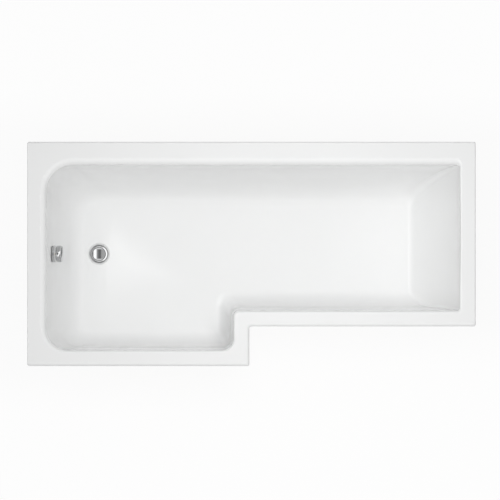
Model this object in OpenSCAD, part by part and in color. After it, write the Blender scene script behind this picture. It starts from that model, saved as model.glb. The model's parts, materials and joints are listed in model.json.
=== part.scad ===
// L-shaped acrylic shower bath on a steel cradle frame with adjustable feet,
// and a waste whose plug is raised by a knob on the overflow.
// Millimetres. Origin at the centre of the bounding box, on the floor.
// +X points to the head end, -X to the waste end, +Y to the wall side, +Z up.
// A wall's "gap" is the plan distance of its inner face from the outer edge of the rim.

/* [Overall] */
// Length over the rim
bath_l = 1700; // [1600:10:1800]
// Width over the rim at the shower end
wide_w = 850; // [800:5:900]
// Width over the rim at the head end
narrow_w = 700; // [680:5:750]
// Length of the wide shower end, up to the step
shower_l = 842; // [800:1:900]
// Height of the rim above the floor
rim_z = 550; // [535:5:620]
// Depth from the rim to the inside of the floor at the waste
depth = 410; // [380:5:420]
// Fall of the floor from the foot of the backrest to the waste
floor_fall = 8; // [0:1:12]

/* [Rim] */
// Thickness of the acrylic sheet
sheet_t = 5; // [4:0.5:6]
// Height of the turned-down edge of the rim
skirt_h = 38; // [34:1:45]
// Radius of the outer edge on the sides that meet a wall
wall_edge_r = 5; // [5:0.5:7]
// Radius of the outer edge on the open sides
open_edge_r = 14; // [9:0.5:16]
// Plan radius of the outer corners
outer_corner_r = 8; // [6:0.5:12]
// Flat width of the rim at the waste end
drain_rim = 46; // [42:1:60]
// Flat width of the rim along the wall side
back_rim = 58; // [50:1:70]
// Flat width of the rim at the head end
head_rim = 50; // [45:1:60]
// Flat width of the rim along the front
front_rim = 50; // [45:1:60]
// Flat width of the rim beside the step
step_rim = 50; // [45:1:60]

/* [Inner edge] */
// Radius from the rim into the waste end wall
drain_roll = 26; // [12:1:36]
// Radius from the rim into the back wall
back_roll = 30; // [12:1:36]
// Radius from the rim into the backrest
head_roll = 10; // [10:1:20]
// Radius from the rim into the front walls
front_roll = 10; // [10:1:20]
// Radius from the rim into the step wall
step_roll = 10; // [10:1:20]

/* [Walls] */
// Lean of the waste end wall from upright, in degrees
drain_lean = 8; // [3:0.5:9]
// Lean of the back wall
back_lean = 5; // [3:0.5:8]
// Lean of the backrest
head_lean = 8; // [6:0.5:14]
// Lean of the front walls
front_lean = 2.5; // [2:0.5:6]
// Lean of the step wall
step_lean = 2.5; // [2:0.5:6]
// Plan width of the curve from the waste end wall into the floor
drain_sweep = 107; // [80:1:110]
// Plan width of the curve from the back wall into the floor
back_sweep = 123; // [80:1:140]
// Plan width of the curve from the backrest into the floor
head_sweep = 142; // [120:1:150]
// Plan width of the curve from the front walls into the floor
front_sweep = 66; // [50:1:80]
// Plan width of the curve from the step wall into the floor
step_sweep = 52; // [45:1:70]
// Tightness of the curve at the waste end, 2 is an ellipse and more is squarer
drain_curve = 3; // [2.2:0.1:5]
// Tightness of the curve at the back wall
back_curve = 2.4; // [2.2:0.1:5]
// Tightness of the curve at the backrest
head_curve = 1.6; // [1.5:0.1:2.4]
// Tightness of the curve at the front and step walls
front_curve = 2.2; // [2:0.1:3]
// Share of their height that the front and step walls curve over
front_share = 0.3; // [0.25:0.05:0.6]
// How far the backrest is scooped out in its middle
backrest_scoop = 8; // [0:1:12]

/* [Inner corners] */
// Corner of the waste end and the front, at the rim
drain_front_edge_r = 85; // [60:1:110]
// The same corner at the floor
drain_front_foot_r = 70; // [50:1:110]
// Corner of the front and the step, at the rim
front_step_edge_r = 45; // [30:1:60]
// The same corner at the floor
front_step_foot_r = 18; // [12:1:40]
// Projecting corner of the step and the front, at the rim
step_front_edge_r = 20; // [18:1:40]
// The same corner at the floor
step_front_foot_r = 50; // [30:1:70]
// Corner of the front and the backrest, at the rim
front_head_edge_r = 11; // [8:1:30]
// The same corner at the floor
front_head_foot_r = 16; // [10:1:40]
// Corner of the backrest and the back wall, at the rim
head_back_edge_r = 11; // [8:1:30]
// The same corner at the floor
head_back_foot_r = 30; // [15:1:50]
// Corner of the back wall and the waste end, at the rim
back_drain_edge_r = 100; // [60:1:120]
// The same corner at the floor
back_drain_foot_r = 110; // [60:1:130]

/* [Reinforcement] */
// Thickness of the glass fibre laminate on the back of the acrylic
laminate_t = 4; // [3:0.5:5]
// Thickness of the bond between the acrylic and the laminate
bond_t = 0.2; // [0.1:0.1:0.5]
// Thickness of the baseboard
board_t = 18; // [15:1:20]
// How far the baseboard reaches out under the curve of the walls
board_reach = 15; // [5:1:25]
// Half width of the slot in the baseboard round the waste
board_slot_r = 62; // [60:1:70]
// Thickness of the timber battens under the rim
batten_t = 18; // [12:1:20]
// Gap from the outer edge of the rim to the battens
batten_gap = 15; // [15:1:20]

/* [Cradles and feet] */
// Width of the cradle channel
channel_w = 40; // [36:1:50]
// Height of the cradle channel
channel_h = 25; // [22:1:30]
// Thickness of the cradle steel
channel_t = 2; // [1.5:0.5:3]
// Place of the cradle near the waste
drain_cradle_x = -460; // [-470:1:-400]
// Place of the middle cradle
middle_cradle_x = 40; // [20:1:100]
// Place of the cradle at the head end
head_cradle_x = 500; // [450:1:530]
// Gap from the outer edge of the rim to the front feet
front_foot_gap = 60; // [54:1:64]
// Gap from the outer edge of the rim to the back feet
back_foot_gap = 120; // [100:1:125]
// How far a channel runs past its feet
channel_end = 24; // [20:1:30]
// Diameter of the threaded rods
rod_d = 12; // [10:1:12]
// Length of threaded rod above the upper nut
rod_spare = 40; // [36:1:50]
// Radial clearance of the rods in their nuts and sockets
rod_fit = 0.05; // [0.02:0.01:0.1]
// Diameter of the foot discs
foot_d = 54; // [45:1:60]
// Height of the foot discs
foot_h = 9; // [7:1:12]
// Height of the socket on a foot, with its disc
socket_h = 26; // [22:1:32]
// Thickness of the rubber sole
sole_t = 3; // [2:0.5:4]
// Height of the rod nuts
nut_h = 9; // [8:0.5:10]

/* [Wall brackets] */
// Width of a bracket
bracket_w = 44; // [38:1:60]
// Thickness of the bracket steel
bracket_t = 2; // [1.5:0.5:3]
// Height of the plate that is screwed to the wall
bracket_h = 52; // [45:1:60]
// Distance between the two wall holes
wall_hole_pitch = 26; // [22:1:30]
// Diameter of the wall holes
wall_hole_d = 6; // [5:0.5:7]
// Gap between a bracket and the turned-down edge
bracket_clear = 1; // [0.5:0.5:2]

/* [Screws] */
// Shank diameter of the wood screws
screw_d = 4.5; // [4:0.5:5]
// Head diameter of the wood screws
screw_head_d = 9; // [8:0.5:10]
// Head height of the wood screws
screw_head_h = 2.5; // [2:0.5:3]
// Length of a wood screw in the timber
screw_grip = 13; // [10:1:14]
// Radial clearance of the screws in their holes
screw_fit = 0.1; // [0.05:0.05:0.3]

/* [Waste] */
// Distance of the waste centre from the waste end of the rim
waste_from_end = 272; // [272:1:280]
// Diameter of the waste hole in the acrylic
waste_hole_d = 52; // [51:0.5:54]
// Depth of the recess in the floor that the flange sits in
seat_depth = 4; // [3:0.5:5]
// Diameter of the waste flange
flange_d = 72; // [70:1:74]
// Clear ring round the flange in its recess
seat_clear = 1.5; // [1:0.5:3]
// Thickness of the rim of the waste flange
flange_t = 2.6; // [2:0.2:4]
// Outer diameter of the threaded neck under the flange
neck_d = 49; // [48:0.5:50]
// Inner diameter of the neck
neck_bore_d = 42; // [40:0.5:43]
// Diameter of the plug
plug_d = 48; // [46:0.5:50]
// Height of the plug's dome above its rim
dome_h = 5; // [3:0.5:8]
// Outer diameter of the waste tail, G 1 1/2
tail_d = 47.8; // [47.8:0.1:47.9]
// Length of the waste tail
tail_l = 22; // [18:1:24]
// Bore of the waste tail
tail_bore_d = 38; // [34:1:40]
// Outer diameter of the waste bowl
bowl_d = 72; // [70:1:76]
// Wall of the waste and overflow mouldings
moulding_t = 3; // [2.5:0.5:4]
// Height of the waste bowl under its flange
bowl_h = 62; // [60:1:64]
// Thickness of the seals
seal_t = 3; // [2:0.5:4]
// Diameter of the lifting pin
pin_d = 8; // [7:0.5:9]
// Radial clearance of the lifting pin in its guide
pin_fit = 0.05; // [0.02:0.01:0.1]
// How far the plug is raised
plug_lift = 9.5; // [8:0.5:10]
// Length of the lever that raises the pin
lever_l = 22; // [20:0.5:23]

/* [Overflow] */
// Depth of the overflow centre below the rim
overflow_drop = 175; // [150:1:200]
// Diameter of the overflow hole
overflow_hole_d = 52; // [50:0.5:54]
// Diameter of the overflow flange
rose_d = 64; // [62:1:68]
// Thickness of the overflow flange
rose_t = 11; // [8:0.5:13]
// Gap between the overflow flange and the knob, where the water enters
inlet_gap = 2; // [1.5:0.5:4]
// Diameter of the knob
knob_d = 63; // [60:1:66]
// Diameter of the step at the back of the knob
knob_base_d = 56; // [52:1:58]
// Thickness of that step
knob_base_t = 5; // [4:0.5:6]
// Thickness of the grip of the knob
knob_t = 18; // [12:0.5:20]
// Bevel round the front of the knob
knob_bevel = 2; // [1:0.5:3]
// Width of the finger notch in the knob
notch_w = 22; // [18:1:26]
// Depth of the finger notch
notch_depth = 6; // [4:0.5:8]
// Diameter of the spindle
spindle_d = 10; // [8:0.5:12]
// Radial clearance of the spindle in its bearing
spindle_fit = 0.05; // [0.02:0.01:0.1]
// Outer diameter of the overflow chamber
chamber_d = 50; // [48:1:50]
// Depth of the overflow chamber
chamber_l = 32; // [30:1:34]
// Outer diameter of the overflow pipe
pipe_d = 32; // [28:1:34]
// Wall of the overflow pipe
pipe_t = 2.2; // [1.8:0.2:3]
// Bend radius of the overflow pipe
pipe_bend_r = 38; // [34:1:42]
// Outer diameter of the nuts on the overflow pipe
pipe_nut_d = 48; // [46:1:50]
// Length of the nuts on the overflow pipe
pipe_nut_l = 16; // [14:1:18]

/* [Control cable] */
// Diameter of the cable sleeve
cable_d = 7; // [6:0.5:8]
// Diameter of the cable glands
gland_d = 12; // [11:0.5:14]
// Length of the cable glands
gland_l = 14; // [12:1:16]

/* [Hidden] */
$fn = 64;

// Flatness of the arcs in the lofted shells
corner_steps = 6;
backrest_points = 5;
wall_levels = 10;

// Walls, anticlockwise from the shower front: [flat rim, roll, lean, sweep, curve, share of the height swept]
WALLS = [
    [front_rim, front_roll, front_lean, front_sweep, front_curve, front_share],
    [step_rim, step_roll, step_lean, step_sweep, front_curve, front_share],
    [front_rim, front_roll, front_lean, front_sweep, front_curve, front_share],
    [head_rim, head_roll, head_lean, head_sweep, head_curve, 1],
    [back_rim, back_roll, back_lean, back_sweep, back_curve, 1],
    [drain_rim, drain_roll, drain_lean, drain_sweep, drain_curve, 1],
];
EDGE_R = [open_edge_r, open_edge_r, open_edge_r, wall_edge_r, wall_edge_r, wall_edge_r];
// Corners in the same order, the first between the waste end and the shower front: [at the rim, at the floor]
CORNERS = [
    [drain_front_edge_r, drain_front_foot_r], [front_step_edge_r, front_step_foot_r],
    [step_front_edge_r, step_front_foot_r], [front_head_edge_r, front_head_foot_r],
    [head_back_edge_r, head_back_foot_r], [back_drain_edge_r, back_drain_foot_r],
];
STEP_CORNER = 2;

left_x = -bath_l / 2;
right_x = bath_l / 2;
front_y = -wide_w / 2;
back_y = wide_w / 2;
inner_y = back_y - narrow_w;
step_x = left_x + shower_l;

back_layer = sheet_t + bond_t;
base_layer = back_layer + laminate_t;
floor_z = rim_z - depth;
board_top = floor_z - base_layer;
board_bottom = board_top - board_t;

waste_x = left_x + waste_from_end;
waste_y = 0;

// Plan distance of a wall's surface from the outer edge, h below the top of a layer
function gap(wall, h, layer) =
    let (roll = max(wall[1] - layer, 1), u = min(max(1 - (depth - h) / (depth - roll) / wall[5], 0), 1))
    h < roll
        ? wall[0] + sqrt(roll * roll - (roll - h) * (roll - h))
        : wall[0] + roll + tan(wall[2]) * (h - roll) + wall[3] * (1 - pow(1 - pow(u, wall[4]), 1 / wall[4]));

// Plan distance of the outer edge of the rim from its upright face, h below the top of a layer
function edge_gap(r, h, layer) =
    let (roll = r - layer) roll > h ? layer + roll - sqrt(roll * roll - (roll - h) * (roll - h)) : layer;

head_foot_x = right_x - gap(WALLS[3], depth, 0);
function fall_scale(x) = 1 - floor_fall * (x - waste_x) / (head_foot_x - waste_x) / depth;

function corner_radius(i, h, layer) =
    let (
        a = WALLS[(i + 5) % 6], b = WALLS[i],
        to_wall = (max(a[0] + max(a[1] - layer, 1) - gap(a, h, layer), 0)
            + max(b[0] + max(b[1] - layer, 1) - gap(b, h, layer), 0)) / 2,
        base = CORNERS[i][0] + (CORNERS[i][1] - CORNERS[i][0]) * pow(h / depth, 1.5)
    ) max(i == STEP_CORNER ? base - layer - to_wall : base + layer + to_wall, 4);

function arc(cx, cy, r, start, sweep) =
    [for (k = [0:corner_steps]) let (a = start + sweep * k / corner_steps)
        [cx + r * cos(a), cy + r * sin(a)]];

// Plan outline, anticlockwise, from the gap of each wall and the radius of each corner
function outline(g, r, scoop) =
    let (
        x_drain = left_x + g[5], x_step = step_x - g[1], x_head = right_x - g[3],
        y_shower = front_y + g[0], y_front = inner_y + g[2], y_back = back_y - g[4],
        y_low = y_front + r[3], y_high = y_back - r[4]
    ) concat(
        arc(x_drain + r[0], y_shower + r[0], r[0], 180, 90),
        arc(x_step - r[1], y_shower + r[1], r[1], 270, 90),
        arc(x_step + r[2], y_front - r[2], r[2], 180, -90),
        arc(x_head - r[3], y_front + r[3], r[3], 270, 90),
        [for (k = [1:backrest_points]) let (f = k / (backrest_points + 1))
            [x_head + scoop * pow(sin(180 * f), 2), y_low + f * (y_high - y_low)]],
        arc(x_head - r[4], y_back - r[4], r[4], 0, 90),
        arc(x_drain + r[5], y_back - r[5], r[5], 90, 90)
    );

// One ring of the basin, h below the top of a layer; a level layer keeps its floor flat
function basin_ring(h, layer, level = false) =
    let (
        g = [for (w = WALLS) gap(w, h, layer)],
        r = [for (i = [0:5]) corner_radius(i, h, layer)],
        scoop = backrest_scoop * sin(180 * pow(h / depth, 0.6))
    ) [for (p = outline(g, r, scoop)) [p[0], p[1], rim_z - layer - h * (level ? 1 : fall_scale(p[0]))]];

// One ring of the outer edge of the rim
function rim_ring(h, layer) =
    let (g = [for (r = EDGE_R) edge_gap(r, h, layer)],
        r = [for (i = [0:5]) outer_corner_r + (i == STEP_CORNER ? g[i] : 0)])
    [for (p = outline(g, r, 0)) [p[0], p[1], rim_z - layer - h]];

// The lower edge of the skirt, some way in from its outer face
function skirt_ring(g) =
    let (gaps = [for (i = [0:5]) g], r = [for (i = [0:5]) outer_corner_r])
    [for (p = outline(gaps, r, 0)) [p[0], p[1], rim_z - skirt_h]];

// Depths at which the rings lie, closer where the surface turns faster
EDGE_LEVELS = concat(
    [for (f = [0, 0.15, 0.5, 1]) f * wall_edge_r],
    [for (f = [0.45, 1]) wall_edge_r + f * (open_edge_r - wall_edge_r)]
);
UNDER_LEVELS = [for (f = [0, 0.1, 0.35, 0.65, 1]) f * (open_edge_r - sheet_t)];
basin_top = max([for (w = WALLS) w[1]]);
ROLL_LEVELS = [for (f = [0, 0.03, 0.1, 0.2, 0.33, 0.6]) f * basin_top];
WALL_LEVELS = [for (k = [0:wall_levels]) depth - (depth - basin_top) * pow(1 - k / wall_levels, 2.2)];
BASIN_LEVELS = concat(ROLL_LEVELS, WALL_LEVELS);

function reversed(list) = [for (k = [len(list) - 1:-1:0]) list[k]];

// Closed solid through a list of rings, each anticlockwise from above. Where the rings of two solids
// lie back to back, one of them is crossed, so that both are split along the same diagonals.
module loft(rings, crossed = false) {
    n = len(rings[0]);
    m = len(rings);
    a = crossed ? 0 : 1;
    polyhedron(
        points = [for (ring = rings) each ring],
        faces = concat(
            [reversed([for (j = [0:n - 1]) j])],
            [for (i = [0:m - 2]) for (j = [0:n - 1])
                [i * n + j, i * n + (j + 1) % n, (i + 1) * n + (j + a) % n]],
            [for (i = [0:m - 2]) for (j = [0:n - 1])
                [i * n + (j + 1 - a) % n, (i + 1) * n + (j + 1) % n, (i + 1) * n + j]],
            [[for (j = [0:n - 1]) (m - 1) * n + j]]
        )
    );
}

// A tube between two radii
module ring_solid(outer_d, inner_d, h) {
    difference() {
        cylinder(d = outer_d, h = h);
        translate([0, 0, -1]) cylinder(d = inner_d, h = h + 2);
    }
}

// ---- Waste heights, from the recess in the floor down ----
seat_z = floor_z - seat_depth;
recess_d = flange_d + 2 * seat_clear;
pad_d = recess_d + 8;
upper_seal_t = 1.2;
flange_z = seat_z + upper_seal_t;
body_top = board_top - seal_t;
body_flange_t = 5;
bowl_bottom = body_top - body_flange_t - bowl_h;
neck_in_body = 14;
neck_bottom = body_top - neck_in_body;
neck_fit = 0.05;
hub_h = 5;
hub_d = 15;
spoke_w = 3;

// ---- Overflow axis, square to the waste end wall ----
overflow_gap = gap(WALLS[5], overflow_drop, 0);
overflow_lean = atan(gap(WALLS[5], overflow_drop + 1, 0) - gap(WALLS[5], overflow_drop, 0));
overflow_x = left_x + overflow_gap;
overflow_z = rim_z - overflow_drop;

// Local +Z runs out of the wall into the basin, local -X runs up
module at_overflow() {
    translate([overflow_x, waste_y, overflow_z]) rotate([0, 90 - overflow_lean, 0]) children();
}

module at_waste(z) {
    translate([waste_x, waste_y, z]) children();
}

// ================= Tub =================

module acrylic_tub() {
    color("white") difference() {
        union() {
            loft(concat(
                reversed([for (h = BASIN_LEVELS) basin_ring(h, 0)]),
                [for (h = EDGE_LEVELS) rim_ring(h, 0)],
                [skirt_ring(0), skirt_ring(sheet_t)],
                reversed([for (h = UNDER_LEVELS) rim_ring(h, sheet_t)]),
                [for (h = BASIN_LEVELS) basin_ring(h, sheet_t)]
            ));
            at_waste(board_top) cylinder(d = pad_d, h = floor_z - sheet_t / 2 - board_top);
        }
        at_waste(seat_z) cylinder(d = recess_d, h = sheet_t + seat_depth);
        at_waste(board_top - 1) cylinder(d = waste_hole_d, h = floor_z - board_top);
        at_overflow() translate([0, 0, -2 * base_layer]) cylinder(d = overflow_hole_d, h = 3 * base_layer);
    }
}

module glassfibre_backing() {
    color("lightyellow") difference() {
        loft(concat(
            reversed([for (h = WALL_LEVELS) basin_ring(h, back_layer)]),
            [for (h = WALL_LEVELS) basin_ring(h, base_layer, true)]
        ), crossed = true);
        at_waste(board_top - 1) cylinder(d = pad_d + 1, h = 3 * base_layer);
        at_overflow() translate([0, 0, -3 * base_layer]) cylinder(d = overflow_hole_d, h = 4 * base_layer);
    }
}

// ================= Board and battens =================

function board_gap(i) = gap(WALLS[i], depth, base_layer) - board_reach;
board_left = left_x + board_gap(5);
board_right = right_x - board_gap(3);
board_back = back_y - board_gap(4);
board_shower = front_y + board_gap(0);
board_front = inner_y + board_gap(2);
board_step = step_x - board_gap(1);

CRADLE_X = [drain_cradle_x, middle_cradle_x, head_cradle_x];
function board_low(x) = x < step_x ? board_shower : board_front;

module cradle_screw_places() {
    for (x = CRADLE_X) let (low = board_low(x), high = board_back)
        for (f = [0.15, 0.5, 0.85]) translate([x, low + f * (high - low), 0]) children();
}

module baseboard() {
    color("burlywood") difference() {
        translate([0, 0, board_bottom]) linear_extrude(board_t) polygon([
            [board_left, board_shower], [board_step, board_shower], [board_step, board_front],
            [board_right, board_front], [board_right, board_back], [board_left, board_back]
        ]);
        at_waste(board_bottom - 1) cylinder(r = board_slot_r, h = board_t + 2);
        translate([board_left - 1, waste_y - board_slot_r, board_bottom - 1])
            cube([waste_x - board_left + 1, 2 * board_slot_r, board_t + 2]);
        cradle_screw_places() translate([0, 0, board_bottom - 1])
            cylinder(d = screw_d + 2 * screw_fit, h = screw_grip + 1 + screw_fit, $fn = 24);
    }
}

batten_bottom = rim_z - sheet_t - batten_t;
batten_margin = 2;
batten_joint = 1;

// Plan place of a batten's inner edge, from the outer edge of the rim
function batten_in(i) = WALLS[i][0] - batten_margin;

// Brackets: [x, y, turn] with local +Y running in from the wall
back_bracket_pitch = 0.3 * bath_l;
BRACKETS = [
    [-back_bracket_pitch, back_y, 180], [0, back_y, 180], [back_bracket_pitch, back_y, 180],
    [left_x, back_y - 0.27 * wide_w, -90], [right_x, back_y - 0.5 * narrow_w, 90]
];
bracket_in = sheet_t + bracket_clear;
bracket_arm = 22;
bracket_reach = batten_gap + bracket_arm;
bracket_screw_y = batten_gap + bracket_arm / 2;
bracket_screw_x = bracket_w / 2 - 8;

module at_brackets() {
    for (b = BRACKETS) translate([b[0], b[1], 0]) rotate(b[2]) children();
}

module bracket_screw_places() {
    at_brackets() for (s = [-1, 1]) translate([s * bracket_screw_x, bracket_screw_y, 0]) children();
}

module batten(x1, y1, x2, y2) {
    color("tan") difference() {
        translate([x1, y1, batten_bottom]) cube([x2 - x1, y2 - y1, batten_t]);
        bracket_screw_places() translate([0, 0, batten_bottom - 1])
            cylinder(d = screw_d + 2 * screw_fit, h = screw_grip + 1 + screw_fit, $fn = 24);
    }
}

batten_end_y = back_y - batten_in(4) - batten_joint;

module batten_back() {
    batten(left_x + batten_gap, back_y - batten_in(4), right_x - batten_gap, back_y - batten_gap);
}

module batten_waste_end() {
    batten(left_x + batten_gap, front_y + batten_gap, left_x + batten_in(5), batten_end_y);
}

module batten_head() {
    batten(right_x - batten_in(3), inner_y + batten_gap, right_x - batten_gap, batten_end_y);
}

module batten_shower_front() {
    batten(left_x + batten_in(5) + batten_joint, front_y + batten_gap,
        step_x - batten_gap, front_y + batten_in(0));
}

module batten_step() {
    batten(step_x - batten_in(1), front_y + batten_in(0) + batten_joint,
        step_x - batten_gap, inner_y + batten_gap + step_front_edge_r);
}

module batten_front() {
    batten(step_x - batten_gap + batten_joint, inner_y + batten_gap,
        right_x - batten_in(3) - batten_joint, inner_y + batten_in(2));
}

// ================= Cradles and feet =================

function foot_low(x) = (x < step_x ? front_y : inner_y) + front_foot_gap;
foot_high = back_y - back_foot_gap;
rod_hole_d = rod_d + 1;

module cradle(x) {
    low = foot_low(x) - channel_end;
    length = foot_high + channel_end - low;
    color("silver") translate([x, 0, board_bottom]) difference() {
        translate([-channel_w / 2, low, -channel_h]) cube([channel_w, length, channel_h]);
        translate([-channel_w / 2 + channel_t, low - 1, -channel_h - 1])
            cube([channel_w - 2 * channel_t, length + 2, channel_h - channel_t + 1]);
        for (y = [foot_low(x), foot_high])
            translate([0, y, -channel_h]) cylinder(d = rod_hole_d, h = 2 * channel_h, $fn = 48);
        translate([-x, 0, 0]) cradle_screw_places() translate([0, 0, -channel_h])
            cylinder(d = screw_d + 2 * screw_fit, h = 2 * channel_h, $fn = 24);
    }
}

module wood_screw() {
    cylinder(d = screw_head_d, h = screw_head_h, $fn = 32);
    cylinder(d = screw_d, h = screw_head_h + channel_t + screw_grip, $fn = 24);
}

module cradle_screws() {
    color("gray") cradle_screw_places()
        translate([0, 0, board_bottom - channel_t - screw_head_h]) wood_screw();
}

FEET = [for (x = CRADLE_X) for (y = [foot_low(x), foot_high]) [x, y]];
nut_af = rod_d * 1.6;
rod_bottom = sole_t + foot_h;
rod_top = board_bottom + nut_h + rod_spare;

module rod_nuts() {
    color("silver") for (f = FEET) for (z = [board_bottom, board_bottom - channel_t - nut_h])
        translate([f[0], f[1], z]) difference() {
            cylinder(d = nut_af / cos(30), h = nut_h, $fn = 6);
            translate([0, 0, -1]) cylinder(d = rod_d + 2 * rod_fit, h = nut_h + 2, $fn = 48);
        }
}

module rod(i) {
    color("lightgray") translate([FEET[i][0], FEET[i][1], rod_bottom])
        cylinder(d = rod_d, h = rod_top - rod_bottom, $fn = 48);
}

module foot(i) {
    socket_r = rod_d;
    fillet = 3;
    color("dimgray") translate([FEET[i][0], FEET[i][1], sole_t]) difference() {
        rotate_extrude() polygon([
            [0, 0], [foot_d / 2, 0], [foot_d / 2, foot_h / 2], [foot_d / 2 - foot_h / 3, foot_h],
            [socket_r + fillet, foot_h], [socket_r, foot_h + fillet], [socket_r, socket_h], [0, socket_h]
        ]);
        translate([0, 0, foot_h]) cylinder(d = rod_d + 2 * rod_fit, h = socket_h, $fn = 48);
    }
}

module sole(i) {
    color("black") translate([FEET[i][0], FEET[i][1], 0]) cylinder(d = foot_d - 2, h = sole_t);
}

// ================= Wall brackets =================

skirt_bottom = rim_z - skirt_h;
jog_top = skirt_bottom - bracket_clear;
wall_hole_z = jog_top - bracket_h / 2 - 4;

module wall_brackets() {
    color("silver") at_brackets() difference() {
        translate([-bracket_w / 2, 0, 0]) union() {
            translate([0, bracket_in, batten_bottom - bracket_t])
                cube([bracket_w, bracket_reach - bracket_in, bracket_t]);
            translate([0, bracket_in, jog_top - bracket_t])
                cube([bracket_w, bracket_t, batten_bottom - jog_top + bracket_t]);
            translate([0, 0, jog_top - bracket_t]) cube([bracket_w, bracket_in + bracket_t, bracket_t]);
            translate([0, 0, jog_top - bracket_h]) cube([bracket_w, bracket_t, bracket_h]);
        }
        for (s = [-1, 1]) {
            translate([s * wall_hole_pitch / 2, -1, wall_hole_z])
                rotate([-90, 0, 0]) cylinder(d = wall_hole_d, h = bracket_t + 2, $fn = 32);
            translate([s * bracket_screw_x, bracket_screw_y, batten_bottom - bracket_t - 1])
                cylinder(d = screw_d + 2 * screw_fit, h = bracket_t + 2, $fn = 24);
        }
    }
}

module bracket_screws() {
    color("gray") bracket_screw_places() translate([0, 0, batten_bottom - bracket_t - screw_head_h]) {
        cylinder(d = screw_head_d, h = screw_head_h, $fn = 32);
        cylinder(d = screw_d, h = screw_head_h + bracket_t + screw_grip, $fn = 24);
    }
}

// ================= Waste =================

module waste_upper_seal() {
    color("black") at_waste(seat_z) ring_solid(flange_d - 3, waste_hole_d + 1, upper_seal_t);
}

module waste_lower_seal() {
    color("black") at_waste(body_top) ring_solid(bowl_d + 8, waste_hole_d + 1, seal_t);
}

cone_h = 3.4;
plug_clear = 1.2;
groove_d = plug_d + 2 * plug_clear;

module waste_flange() {
    r = flange_d / 2;
    floor_of_groove = flange_z + 0.4;
    color("gainsboro") at_waste(0) {
        rotate_extrude() polygon([
            [neck_bore_d / 2, neck_bottom], [neck_d / 2, neck_bottom], [neck_d / 2, flange_z],
            [r, flange_z], [r, flange_z + 0.4 * flange_t], [r - 1.5, flange_z + flange_t],
            [r - 3, flange_z + flange_t], [groove_d / 2, flange_z + flange_t / 2],
            [groove_d / 2, floor_of_groove], [neck_bore_d / 2 + cone_h, floor_of_groove],
            [neck_bore_d / 2, floor_of_groove - cone_h]
        ]);
        translate([0, 0, neck_bottom]) difference() {
            union() {
                cylinder(d = hub_d, h = hub_h);
                for (a = [60, 180, 300]) rotate(a) translate([0, -spoke_w / 2, 0])
                    cube([neck_bore_d / 2 + 1, spoke_w, hub_h]);
            }
            translate([0, 0, -1]) cylinder(d = pin_d + 2 * pin_fit, h = hub_h + 2, $fn = 48);
        }
    }
}

lever_drop = 16;
lever_z = neck_bottom - lever_drop;
lever_angle = asin(plug_lift / 2 / lever_l);
tip_r = 4;
axle_d = 5;
axle_fit = 0.05;
lever_w = 8;
lug_gap = 0.5;
lug_w = 4;
lug_r = 6;
inlet_rise = 24;
inlet_z = bowl_bottom + inlet_rise;
socket_d = pipe_d + 7;
pipe_fit = 0.1;
socket_l = 18;
inlet_stop = waste_x - bowl_d / 2 - 4;
inlet_end = inlet_stop - socket_l;
gland_z = lever_z + 6;
gland_root = 2;

module waste_body() {
    inner_d = bowl_d - 2 * moulding_t;
    color("whitesmoke") difference() {
        union() {
            difference() {
                union() {
                    at_waste(body_top - body_flange_t) cylinder(d = bowl_d + 12, h = body_flange_t);
                    at_waste(bowl_bottom) cylinder(d = bowl_d, h = bowl_h + body_flange_t);
                    at_waste(bowl_bottom - tail_l) cylinder(d = tail_d, h = tail_l + 1);
                    translate([inlet_end, waste_y, inlet_z]) rotate([0, 90, 0])
                        cylinder(d = socket_d, h = waste_x - inlet_end);
                }
                at_waste(bowl_bottom + moulding_t)
                    cylinder(d = inner_d, h = neck_bottom - 2 - bowl_bottom - moulding_t);
            }
            for (s = [-1, 1]) translate([waste_x + lever_l - lug_r,
                waste_y + s * (lever_w / 2 + lug_gap + lug_w / 2) - lug_w / 2, lever_z - lug_r])
                cube([bowl_d / 2 - 1 - lever_l + lug_r, lug_w, 2 * lug_r]);
            translate([waste_x, waste_y + bowl_d / 2 - gland_root, gland_z]) rotate([-90, 0, 0])
                cylinder(d = gland_d, h = gland_l + gland_root, $fn = 32);
        }
        at_waste(neck_bottom - 3) cylinder(d = neck_d + 2 * neck_fit, h = bowl_h);
        at_waste(bowl_bottom - tail_l - 1) cylinder(d = tail_bore_d, h = tail_l + moulding_t + 2);
        translate([inlet_end - 1, waste_y, inlet_z]) rotate([0, 90, 0])
            cylinder(d = pipe_d + 2 * pipe_fit, h = socket_l + 1);
        translate([inlet_end, waste_y, inlet_z]) rotate([0, 90, 0])
            cylinder(d = pipe_d - 2 * pipe_t, h = bowl_d / 2);
        translate([waste_x + lever_l, waste_y - bowl_d / 4, lever_z]) rotate([-90, 0, 0])
            cylinder(d = axle_d, h = bowl_d / 2, $fn = 32);
    }
}

module lever_axle() {
    length = lever_w + 2 * (lug_gap + lug_w);
    color("silver") translate([waste_x + lever_l, waste_y - length / 2, lever_z]) rotate([-90, 0, 0])
        cylinder(d = axle_d, h = length, $fn = 32);
}

module lift_lever() {
    color("orange") translate([waste_x + lever_l, waste_y + lever_w / 2, lever_z])
        rotate([90, -lever_angle, 0]) difference() {
            union() {
                cylinder(d = axle_d + 5, h = lever_w);
                translate([-lever_l, -2, 0]) cube([lever_l, 4, lever_w]);
                translate([-lever_l, 0, 0]) cylinder(r = tip_r, h = lever_w);
            }
            translate([0, 0, -1]) cylinder(d = axle_d + 2 * axle_fit, h = lever_w + 2, $fn = 32);
        }
}

stem_d = 16;
stem_gap = 4;
stem_bottom = neck_bottom + hub_h + stem_gap;
stem_bore = 10;
stem_fit = 0.2;
touch_gap = 0.3;
pin_bottom = lever_z - plug_lift / 2 + tip_r + touch_gap;
pin_top = stem_bottom + stem_bore - touch_gap;

module lifting_pin() {
    color("goldenrod") at_waste(pin_bottom) cylinder(d = pin_d, h = pin_top - pin_bottom, $fn = 48);
}

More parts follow.
